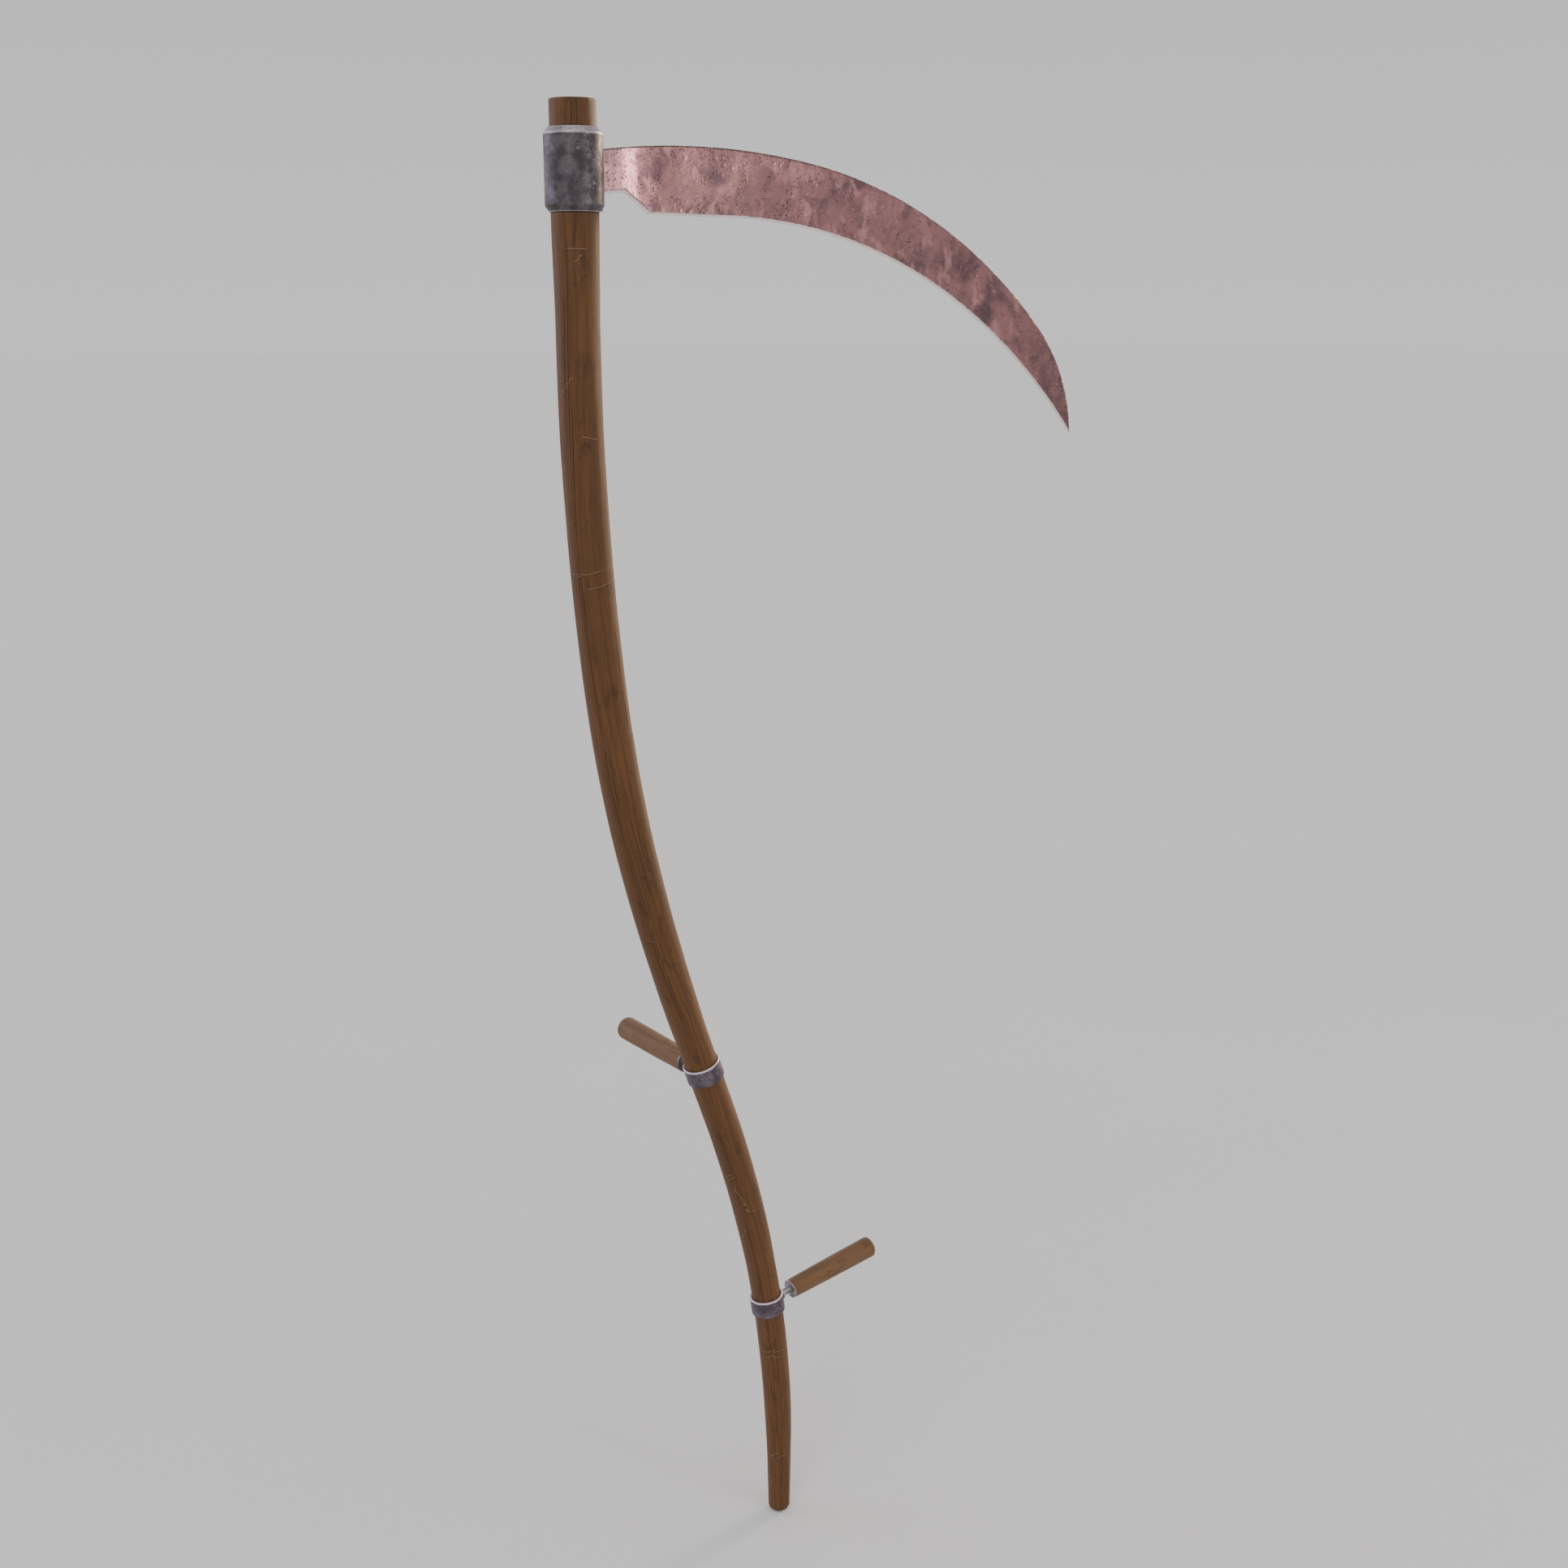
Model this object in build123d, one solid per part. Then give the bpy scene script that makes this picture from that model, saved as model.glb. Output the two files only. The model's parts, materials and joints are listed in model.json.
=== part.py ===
from build123d import *
from math import ceil, cos, degrees, radians, sin
import os

# A two-handed hand scythe, in millimetres.
# The origin is the centre of the flat on the snath's butt. +Z runs up to the blade's end,
# +X is the way the blade points, and the snath's S-bend lies in the XZ plane.

# Snath: the long wooden shaft. Its centreline is a chain of straights and tangent arcs.
SNATH_HEIGHT = 1648.0
BUTT_STRAIGHT = 68.0
LOWER_BEND_RADIUS = 1425.0
LEAN = 19.5                       # degrees off vertical, towards -X, in the middle straight
MIDDLE_STRAIGHT = 118.0
UPPER_BENDS = [(2550.0, 4.5), (1580.0, 7.6), (2850.0, LEAN - 12.1)]     # radius, degrees turned
BUTT_RADIUS = 13.1
BUTT_ROUNDING = 8.0
BUTT_TOP_RADIUS = 14.4            # at the end of the butt's straight
LOWER_SEAT_RADIUS = 17.3
UPPER_SEAT_RADIUS = 19.2
SHOULDER_RADIUS = 23.8            # just under the collar's packing, which rests on it
HEAD_SEAT_RADIUS = 23.4
STUB_RADIUS = 23.0                # the bare end above the collar
STUB_CHAMFER = 1.0
SHOULDER_DEPTH = 4.0
SECTION_SPACING = 55.0            # between the sections that the tapered wood is lofted through
LOWER_TAPER = [(104.0, 15.5), (138.0, 16.3), (172.0, 16.8)]             # distance along, radius
MIDDLE_TAPER = [(400.0, 18.1), (480.0, 18.6)]
UPPER_TAPER = [(730.0, 20.1), (870.0, 21.1), (1000.0, 21.8), (1120.0, 22.1), (1476.3, 22.2)]

# Collar at the snath's top, with its leather packing.
COLLAR_BOTTOM = 1543.0
COLLAR_HEIGHT = 79.5
COLLAR_RADIUS = 29.1
COLLAR_CHAMFER_HEIGHT = 6.0
COLLAR_LAND = 0.8                 # width of the ring-shaped face left at each end
RUNNING_GAP = 0.05                # radial, between a sleeve and what turns or slides on it
HEAD_PACKING_THICKNESS = 0.6
PACKING_INSET = 0.1               # the packing ends this far inside the collar or ring
PACKING_SPLIT = 2.5

# Blade: neck, T-shaped foot that slides into the collar, and the curved blade itself.
# Reaches are measured along +X from the snath's top axis.
BLADE_THICKNESS = 4.4
TIP_THICKNESS = 2.6
EDGE_THICKNESS = 0.7
SPINE_FACE = 2.6                  # width of the narrow face left along the spine
EDGE_BEVEL = 3.0
SPINE_BEVEL = 1.5
FOOT_OUTER = 26.4
FOOT_HALF_WIDTH = 8.8
FOOT_BOTTOM = 1560.0
FOOT_TOP = 1606.0
NECK_BOTTOM = 1561.0
NECK_STEP_REACH = 55.2            # where the neck's lower side turns down to the heel
NECK_STEP_HEIGHT = 1563.6
HEEL_REACH = 83.4
HEEL_BOTTOM = 1543.4
HEEL_TOP = 1608.9
SPINE_RISE = 4.2                  # degrees, at the heel
SPINE_ARCS = [(890.0, 13.2), (608.0, 36.1), (194.0, 41.3)]              # radius, degrees turned
EDGE_FALL = 0.4                   # degrees, at the heel
EDGE_STRAIGHT = 101.0
EDGE_ARC = (631.0, 31.2)
BLADE_SECTIONS = 22
TIP_STOP = 0.994                  # share of the blade's length where its blunt tip ends
NECK_BEVEL = 1.3
SLOT_GAP = 0.1
SLOT_TOP = 1604.0
KEY_BOTTOM = 1544.5
KEY_STEP = 5.0                    # the key's web is cut back this far up, beside the collar's chamfer
KEY_CHAMFER_CLEAR = 4.6
KEY_INSET = 0.4

# Clamping of the collar: a shoe in a pocket, pressed on by two square-headed set screws.
SHOE_OUTER = 26.2
SHOE_HALF_WIDTH = 10.0
SHOE_BOTTOM = 1551.0
SHOE_TOP = 1613.0
POCKET_GAP = 0.3
SCREW_HEIGHTS = {"lower": 1565.0, "upper": 1599.0}
SCREW_RADIUS = 5.0
SCREW_HEAD = 11.0
SCREW_HEAD_HEIGHT = 6.5
SCREW_BARE = 1.5                  # gap between the boss and the screw's head
BOSS_RADIUS = 9.0
BOSS_TOP = 32.6

# The two nibs: an iron ring on the snath, a square-necked clamp stem and a wooden grip.
RING_HEIGHT = 22.5
RING_CHAMFER = 0.9
NIB_PACKING_THICKNESS = 0.5
STEM_THREAD_RADIUS = 3.4
STEM_SQUARE = 7.0
TANG_RADIUS = 3.3
TIP_GAP = 0.4
NIB_BOSS_RADIUS = 6.5
NIB_BOSS_PROUD = 2.0
WASHER_THICKNESS = 1.6
COUNTERBORE_RADIUS = 8.5
COUNTERBORE_DEPTH = 9.0
NUT_SQUARE = 10.5
NUT_HEIGHT = 5.0
GRIP_ROUNDING = 3.5
UPPER_RING_ALONG = 72.1           # up the middle straight
LOWER_RING_TURN = 8.957           # degrees round the lower bend

# seat and ring: radii; rise: of the stem above the ring's middle; start and length: of the grip;
# inner and outer: the grip's radii
NIBS = {
    "upper": dict(
        seat=UPPER_SEAT_RADIUS, ring=21.6, rise=-3.1,
        start=36.5, length=133.5, inner=12.6, outer=13.8,
    ),
    "lower": dict(
        seat=LOWER_SEAT_RADIUS, ring=20.2, rise=0.5,
        start=34.4, length=125.5, inner=11.3, outer=12.8,
    ),
}


# ---- the snath's centreline ----

def straight_step(lean, length):
    return -length * sin(radians(lean)), length * cos(radians(lean))


def arc_step(lean, turned, radius):
    across = radius * (cos(radians(lean + turned)) - cos(radians(lean)))
    up = radius * (sin(radians(lean + turned)) - sin(radians(lean)))
    return across, up


def make_course():
    """Each piece of the centreline as (length, signed radius or None), up to SNATH_HEIGHT."""
    course = [
        (BUTT_STRAIGHT, None),
        (LOWER_BEND_RADIUS * radians(LEAN), LOWER_BEND_RADIUS),
        (MIDDLE_STRAIGHT, None),
    ]
    course += [(radius * radians(turn), -radius) for radius, turn in UPPER_BENDS]
    reached = place_on(course, sum(length for length, _ in course))[1]
    course.append((SNATH_HEIGHT - reached, None))
    return course


def place_on(course, along):
    """X, Z and lean of the centreline at a distance along it."""
    x = z = lean = 0.0
    for length, radius in course:
        step = min(along, length)
        turned = degrees(step / radius) if radius else 0.0
        across, up = arc_step(lean, turned, radius) if radius else straight_step(lean, step)
        x, z, lean = x + across, z + up, lean + turned
        along -= step
        if along <= 0:
            break
    return x, z, lean


COURSE = make_course()
SNATH_LENGTH = sum(length for length, _ in COURSE)
TOP_X = place_on(COURSE, SNATH_LENGTH)[0]
MIDDLE_START = BUTT_STRAIGHT + COURSE[1][0]
MIDDLE_END = MIDDLE_START + MIDDLE_STRAIGHT
RING_ALONG = {
    "upper": MIDDLE_START + UPPER_RING_ALONG,
    "lower": BUTT_STRAIGHT + LOWER_BEND_RADIUS * radians(LOWER_RING_TURN),
}
SEAT_HALF = 58.0                  # half the length of true round wood under the lower ring
COLLAR_TOP = COLLAR_BOTTOM + COLLAR_HEIGHT
BEND_AXIS = Axis((-LOWER_BEND_RADIUS, 0, BUTT_STRAIGHT), (0, -1, 0))


def section_plane(along):
    """Plane square to the centreline, with its X in the XZ plane and its Y along +Y."""
    x, z, lean = place_on(COURSE, along)
    tilt = radians(lean)
    return Plane(origin=(x, 0, z), x_dir=(cos(tilt), 0, sin(tilt)), z_dir=(-sin(tilt), 0, cos(tilt)))


def height_to_along(height):
    """Distance along the centreline of a height on the top straight."""
    return SNATH_LENGTH - (SNATH_HEIGHT - height)


# ---- shared shapes ----

def revolved(points, axis=Axis.Z):
    """Solid turned from a closed outline given as (radius, height)."""
    outline = Polyline(*[(radius, 0, height) for radius, height in points], close=True)
    return revolve(make_face(outline), axis=axis)


def tube(plane, outer, inner, height):
    """Sleeve centred on a plane."""
    return plane * (Cylinder(outer, height) - Cylinder(inner, height + 2))


def rod(radius, start, end):
    """Cylinder along +X from start to end."""
    return Pos(X=(start + end) / 2) * Rot(Y=90) * Cylinder(radius, end - start)


def block(x_span, y_span, z_span):
    """Box between three (low, high) spans."""
    size = [high - low for low, high in (x_span, y_span, z_span)]
    middle = [(high + low) / 2 for low, high in (x_span, y_span, z_span)]
    return Pos(*middle) * Box(*size)


# ---- snath ----

def butt_end():
    """Rounded lower end, turned round the first straight."""
    with BuildSketch(Plane.XZ) as outline:
        with BuildLine():
            flat = Line((0, 0), (BUTT_RADIUS - BUTT_ROUNDING, 0))
            corner = JernArc(flat @ 1, (1, 0), BUTT_ROUNDING, 90)
            side = Line(corner @ 1, (BUTT_TOP_RADIUS, BUTT_STRAIGHT))
            Polyline(side @ 1, (0, BUTT_STRAIGHT), (0, 0))
        make_face()
    return revolve(outline.sketch, axis=Axis.Z)


def tapered_wood(stations):
    """Loft through round sections; stations are (distance along, radius)."""
    wires = []
    for (start, near), (end, far) in zip(stations, stations[1:]):
        steps = ceil((end - start) / SECTION_SPACING)
        for step in range(steps):
            share = step / steps
            plane = section_plane(start + share * (end - start))
            wires.append(Wire.make_circle(near + share * (far - near), plane))
    wires.append(Wire.make_circle(stations[-1][1], section_plane(stations[-1][0])))
    return Solid.make_loft(wires)


def lower_seat():
    """True round wood along the lower bend, where the lower ring rides."""
    start = section_plane(RING_ALONG["lower"] - SEAT_HALF)
    turn = degrees(2 * SEAT_HALF / LOWER_BEND_RADIUS)
    return revolve(start * Circle(LOWER_SEAT_RADIUS), axis=BEND_AXIS, revolution_arc=turn)


def upper_seat():
    plane = section_plane((MIDDLE_START + MIDDLE_END) / 2)
    return plane * Cylinder(UPPER_SEAT_RADIUS, MIDDLE_STRAIGHT)


def top_end():
    """Seat for the head, with a small shoulder under it and the bare stub above."""
    tip = STUB_RADIUS - STUB_CHAMFER
    outline = [
        (0, COLLAR_BOTTOM - SHOULDER_DEPTH), (SHOULDER_RADIUS, COLLAR_BOTTOM - SHOULDER_DEPTH),
        (SHOULDER_RADIUS, COLLAR_BOTTOM), (HEAD_SEAT_RADIUS, COLLAR_BOTTOM),
        (HEAD_SEAT_RADIUS, COLLAR_TOP), (STUB_RADIUS, COLLAR_TOP),
        (STUB_RADIUS, SNATH_HEIGHT - STUB_CHAMFER), (tip, SNATH_HEIGHT), (0, SNATH_HEIGHT),
    ]
    return Pos(X=TOP_X) * revolved(outline)


def make_snath():
    seat_low = RING_ALONG["lower"] - SEAT_HALF
    seat_high = RING_ALONG["lower"] + SEAT_HALF
    shoulder = height_to_along(COLLAR_BOTTOM - SHOULDER_DEPTH)
    lower = [(BUTT_STRAIGHT, BUTT_TOP_RADIUS), *LOWER_TAPER, (seat_low, LOWER_SEAT_RADIUS)]
    middle = [(seat_high, LOWER_SEAT_RADIUS), *MIDDLE_TAPER, (MIDDLE_START, UPPER_SEAT_RADIUS)]
    upper = [(MIDDLE_END, UPPER_SEAT_RADIUS), *UPPER_TAPER, (shoulder, SHOULDER_RADIUS)]
    return [
        butt_end(), tapered_wood(lower), lower_seat(), tapered_wood(middle),
        upper_seat(), tapered_wood(upper), top_end(),
    ]


# ---- head: collar, blade and their fastenings ----

HEAD_BORE = HEAD_SEAT_RADIUS + RUNNING_GAP + HEAD_PACKING_THICKNESS + RUNNING_GAP
HEAD_AXIS = Pos(X=TOP_X)


def head_packing():
    height = COLLAR_HEIGHT - 2 * PACKING_INSET
    middle = Plane((0, 0, COLLAR_BOTTOM + COLLAR_HEIGHT / 2))
    sleeve = tube(middle, HEAD_BORE - RUNNING_GAP, HEAD_SEAT_RADIUS + RUNNING_GAP, height)
    split = block((-30, 0), (-PACKING_SPLIT / 2, PACKING_SPLIT / 2), (COLLAR_BOTTOM, COLLAR_TOP))
    return HEAD_AXIS * (sleeve - split)


def head_bore_cutter():
    return Pos(Z=COLLAR_BOTTOM + COLLAR_HEIGHT / 2) * Cylinder(HEAD_BORE, COLLAR_HEIGHT + 40)


def screw_boss(height):
    start = COLLAR_RADIUS - 2
    return Pos(Y=(start + BOSS_TOP) / 2, Z=height) * Rot(X=90) * Cylinder(BOSS_RADIUS, BOSS_TOP - start)


def foot_pocket():
    """The T-shaped way that the blade's foot slides up, open at the collar's lower end."""
    slot = BLADE_THICKNESS / 2 + SLOT_GAP
    wide = FOOT_HALF_WIDTH + SLOT_GAP
    deep = block((10, FOOT_OUTER + SLOT_GAP), (-wide, wide), (COLLAR_BOTTOM - 1, FOOT_TOP + SLOT_GAP))
    narrow = block((20, COLLAR_RADIUS + 2), (-slot, slot), (COLLAR_BOTTOM - 1, SLOT_TOP))
    return deep + narrow


def make_collar():
    land = HEAD_BORE + COLLAR_LAND
    body = revolved([
        (HEAD_BORE, COLLAR_BOTTOM), (land, COLLAR_BOTTOM),
        (COLLAR_RADIUS, COLLAR_BOTTOM + COLLAR_CHAMFER_HEIGHT),
        (COLLAR_RADIUS, COLLAR_TOP - COLLAR_CHAMFER_HEIGHT),
        (land, COLLAR_TOP), (HEAD_BORE, COLLAR_TOP),
    ])
    for height in SCREW_HEIGHTS.values():
        body += screw_boss(height)
    body -= head_bore_cutter()
    for height in SCREW_HEIGHTS.values():
        hole = Cylinder(SCREW_RADIUS + RUNNING_GAP, BOSS_TOP)
        body -= Pos(Y=BOSS_TOP / 2 + 10, Z=height) * Rot(X=90) * hole
    wide = SHOE_HALF_WIDTH + POCKET_GAP
    pocket = block(
        (-wide, wide), (10, SHOE_OUTER + POCKET_GAP), (SHOE_BOTTOM - POCKET_GAP, SHOE_TOP + POCKET_GAP)
    )
    return HEAD_AXIS * (body - pocket - foot_pocket())


def make_collar_shoe():
    """Curved-face pad that spreads the set screws' push over the packing."""
    pad = block((-SHOE_HALF_WIDTH, SHOE_HALF_WIDTH), (18, SHOE_OUTER), (SHOE_BOTTOM, SHOE_TOP))
    return HEAD_AXIS * (pad - head_bore_cutter())


def make_set_screw(height):
    tip = SHOE_OUTER + POCKET_GAP
    head = BOSS_TOP + SCREW_BARE
    shank = rod(SCREW_RADIUS, tip, head)
    top = block((head, head + SCREW_HEAD_HEIGHT), *[(-SCREW_HEAD / 2, SCREW_HEAD / 2)] * 2)
    top = chamfer(top.faces().sort_by(Axis.X)[-1].edges(), 0.8)
    return HEAD_AXIS * Pos(Z=height) * Rot(Z=90) * (shank + top)


def spine_line():
    """The blade's back from the heel section to the tip, as (reach, height) in the XY plane."""
    arcs = []
    point = Vector(HEEL_REACH, HEEL_TOP)
    heading = Vector(cos(radians(SPINE_RISE)), sin(radians(SPINE_RISE)))
    for radius, turn in SPINE_ARCS:
        arc = JernArc(point, heading, radius, -turn)
        arcs.append(arc)
        point, heading = arc @ 1, arc % 1
    return Wire(arcs)


def edge_line(tip):
    """The cutting edge from the heel corner to the tip."""
    heel = Vector(HEEL_REACH, HEEL_BOTTOM)
    heading = Vector(cos(radians(EDGE_FALL)), -sin(radians(EDGE_FALL)))
    straight = Line(heel, heel + heading * EDGE_STRAIGHT)
    bend = JernArc(straight @ 1, heading, EDGE_ARC[0], -EDGE_ARC[1])
    last = TangentArc(bend @ 1, tip, tangent=bend % 1)
    return Wire([straight, bend, last])


def blade_section(spine, edge, thickness):
    """Eight-sided section: narrow back, small back bevels, flats and the edge's bevels."""
    across = edge - spine
    width = across.length
    back_bevel = min(SPINE_BEVEL, 0.2 * width)
    front_bevel = min(EDGE_BEVEL, 0.35 * width)
    thin = min(1.0, width / 12)
    half = thickness / 2 * thin
    half_side = [
        (0, min(SPINE_FACE / 2, half * 0.7)), (back_bevel, half),
        (width - front_bevel, half * 0.9), (width, EDGE_THICKNESS / 2 * thin),
    ]
    corners = half_side + [(along, -side) for along, side in reversed(half_side)]
    points = [spine + across * (along / width) for along, _ in corners]
    return Wire.make_polygon([(p.X, side, p.Y) for p, (_, side) in zip(points, corners)])


def blade_body():
    spine = spine_line()
    edge = edge_line(spine @ 1)
    sections = []
    for step in range(BLADE_SECTIONS + 1):
        share = TIP_STOP * (step / BLADE_SECTIONS) ** 0.9
        thickness = BLADE_THICKNESS + (TIP_THICKNESS - BLADE_THICKNESS) * share
        sections.append(blade_section(spine @ share, edge @ share, thickness))
    return Solid.make_loft(sections)


def blade_neck():
    """Flat neck from the collar to the heel section, bevelled below and along the heel."""
    inner = FOOT_OUTER - 1
    back_radius = SPINE_ARCS[0][0]
    rise = radians(SPINE_RISE)
    turn = degrees((HEEL_REACH - inner) / back_radius)
    back = JernArc((HEEL_REACH, HEEL_TOP), (-cos(rise), -sin(rise)), back_radius, turn)
    end = back @ 1
    rest = Polyline(
        end, (inner, end.Y), (inner, NECK_BOTTOM), (NECK_STEP_REACH, NECK_STEP_HEIGHT),
        (HEEL_REACH, HEEL_BOTTOM), (HEEL_REACH, HEEL_TOP),
    )
    plate = extrude(Plane.XZ * make_face([back, rest]), amount=BLADE_THICKNESS / 2, both=True)
    low_edges = [
        edge for edge in plate.edges()
        if edge.center().Z < NECK_STEP_HEIGHT and abs(edge.center().Y) > 1 and edge.length > 20
        and abs((edge % 0.5).Z) < 0.9
    ]
    return chamfer(low_edges, NECK_BEVEL)


def blade_foot():
    foot = block((18, FOOT_OUTER), (-FOOT_HALF_WIDTH, FOOT_HALF_WIDTH), (FOOT_BOTTOM, FOOT_TOP))
    return foot - head_bore_cutter()


def make_blade():
    return HEAD_AXIS * (blade_body() + blade_neck() + blade_foot())


def make_blade_key():
    """Iron key driven up behind the blade's foot to lock it in the collar."""
    half = BLADE_THICKNESS / 2
    low, high = KEY_BOTTOM, FOOT_BOTTOM - SLOT_GAP
    wide = block((18, FOOT_OUTER), (-FOOT_HALF_WIDTH, FOOT_HALF_WIDTH), (low, high))
    web = block((20, COLLAR_RADIUS - KEY_CHAMFER_CLEAR), (-half, half), (low, high))
    web += block((20, COLLAR_RADIUS - KEY_INSET), (-half, half), (low + KEY_STEP, high))
    return HEAD_AXIS * (wide + web - head_bore_cutter())


# ---- nibs, in their own frame: ring axis along Z, stem along +X ----

def nib_plane(name):
    """Where a nib stands: the lower one points along +X, the upper one along +Y."""
    plane = section_plane(RING_ALONG[name])
    if name == "upper":
        return Plane(origin=plane.origin, x_dir=(0, 1, 0), z_dir=plane.z_dir)
    return plane


def packing_radii(nib):
    inner = nib["seat"] + RUNNING_GAP
    return inner, inner + NIB_PACKING_THICKNESS


def ring_bore(nib):
    return packing_radii(nib)[1] + 2 * RUNNING_GAP


def nib_packing(name, nib):
    """Split leather sleeve between the ring and the wood."""
    inner, outer = packing_radii(nib)
    height = RING_HEIGHT - 2 * PACKING_INSET
    if name == "upper":
        sleeve = tube(section_plane(RING_ALONG[name]), outer, inner, height)
    else:
        start = section_plane(RING_ALONG[name] - height / 2)
        ring = start * (Circle(outer) - Circle(inner))
        sleeve = revolve(ring, axis=BEND_AXIS, revolution_arc=degrees(height / LOWER_BEND_RADIUS))
    half = PACKING_SPLIT / 2
    split = block((-30, 0), (-half, half), (-RING_HEIGHT, RING_HEIGHT))
    return sleeve - nib_plane(name) * split


def nib_ring(nib):
    """Iron band with a small boss where the stem screws in."""
    bore = ring_bore(nib)
    outer = nib["ring"]
    half = RING_HEIGHT / 2
    band = revolved([
        (bore, -half), (outer - RING_CHAMFER, -half), (outer, -half + RING_CHAMFER),
        (outer, half - RING_CHAMFER), (outer - RING_CHAMFER, half), (bore, half),
    ])
    boss = Pos(Z=nib["rise"]) * rod(NIB_BOSS_RADIUS, bore, outer + NIB_BOSS_PROUD)
    band += boss - Cylinder(bore, 2 * RING_HEIGHT)
    return band - Pos(Z=nib["rise"]) * rod(STEM_THREAD_RADIUS + RUNNING_GAP, bore - 8, outer + 8)


def nib_stem(nib):
    """Threaded tip, square neck and round tang, in one forging."""
    tip = packing_radii(nib)[1] + TIP_GAP
    neck = nib["ring"] + NIB_BOSS_PROUD + TIP_GAP
    shoulder = nib["start"] - 0.3
    end = nib["start"] + nib["length"] - 2.0
    half = STEM_SQUARE / 2
    square = block((neck, shoulder), (-half, half), (-half, half))
    square = chamfer(square.edges().filter_by(Axis.X), 0.5)
    shape = rod(STEM_THREAD_RADIUS, tip, neck) + square + rod(TANG_RADIUS, shoulder, end)
    return Pos(Z=nib["rise"]) * shape


def nib_grip(nib):
    """Turned wooden grip with a through bore and a counterbore for the nut."""
    start = nib["start"] + WASHER_THICKNESS
    end = nib["start"] + nib["length"]
    swell = 0.3 + (nib["inner"] + nib["outer"]) / 2
    with BuildSketch(Plane.XZ) as outline:
        with BuildLine():
            foot = Line((start, 0), (start, nib["inner"]))
            side = ThreePointArc(
                foot @ 1, ((start + end) / 2, swell), (end - GRIP_ROUNDING, nib["outer"])
            )
            nose = RadiusArc(side @ 1, (end, nib["outer"] - GRIP_ROUNDING), GRIP_ROUNDING)
            Polyline(nose @ 1, (end, 0), (start, 0))
        make_face()
    body = revolve(outline.sketch, axis=Axis.X)
    body -= rod(TANG_RADIUS + RUNNING_GAP, start - 5, end + 5)
    body -= rod(COUNTERBORE_RADIUS, end - COUNTERBORE_DEPTH, end + 5)
    return Pos(Z=nib["rise"]) * body


def nib_washer(nib, start, radius):
    """Plain washer whose near face is at start."""
    disc = rod(radius, start, start + WASHER_THICKNESS)
    return Pos(Z=nib["rise"]) * (disc - rod(TANG_RADIUS + RUNNING_GAP, start - 5, start + 5))


def nib_nut(nib):
    """Square nut on the tang, sunk in the grip's counterbore."""
    start = nib["start"] + nib["length"] - COUNTERBORE_DEPTH + WASHER_THICKNESS + 0.3
    half = NUT_SQUARE / 2
    body = block((start, start + NUT_HEIGHT), (-half, half), (-half, half))
    body = chamfer(body.faces().sort_by(Axis.X)[-1].edges(), 0.6)
    return Pos(Z=nib["rise"]) * (body - rod(TANG_RADIUS, start - 5, start + NUT_HEIGHT + 5))


def make_nib(name, nib):
    plane = nib_plane(name)
    sunk = nib["start"] + nib["length"] - COUNTERBORE_DEPTH
    local = {
        "ring": nib_ring(nib),
        "stem": nib_stem(nib),
        "grip": nib_grip(nib),
        "inner_washer": nib_washer(nib, nib["start"], nib["inner"] - 0.1),
        "outer_washer": nib_washer(nib, sunk, COUNTERBORE_RADIUS - 0.2),
        "end_nut": nib_nut(nib),
    }
    nodes = {f"{name}_nib_{part}": plane * shape for part, shape in local.items()}
    nodes[f"{name}_nib_packing"] = nib_packing(name, nib)
    return nodes


def one_solid(shape):
    """Fuse a list of touching solids, and check that a part is one solid."""
    if isinstance(shape, list):
        first, *rest = shape
        shape = first.fuse(*rest)
    solids = shape.solids()
    assert len(solids) == 1, f"{len(solids)} solids"
    return solids[0]


def main():
    nodes = {
        "snath": make_snath(),
        "collar_packing": head_packing(),
        "blade_collar": make_collar(),
        "blade": make_blade(),
        "blade_key": make_blade_key(),
        "collar_shoe": make_collar_shoe(),
    }
    for name, height in SCREW_HEIGHTS.items():
        nodes[f"{name}_set_screw"] = make_set_screw(height)
    for name, nib in NIBS.items():
        nodes.update(make_nib(name, nib))
    os.makedirs("parts", exist_ok=True)
    for name, shape in nodes.items():
        export_step(one_solid(shape), f"parts/{name}.step")
    for name in NIBS:
        x, z, lean = place_on(COURSE, RING_ALONG[name])
        print(f"{name} ring centre x {x:.3f} z {z:.3f}, lean {lean:.4f} degrees")
    print(f"snath top x {TOP_X:.4f}, length {SNATH_LENGTH:.2f}, {len(nodes)} nodes")


main()
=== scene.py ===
import json
from math import cos, inf, pi, radians, sin

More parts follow.
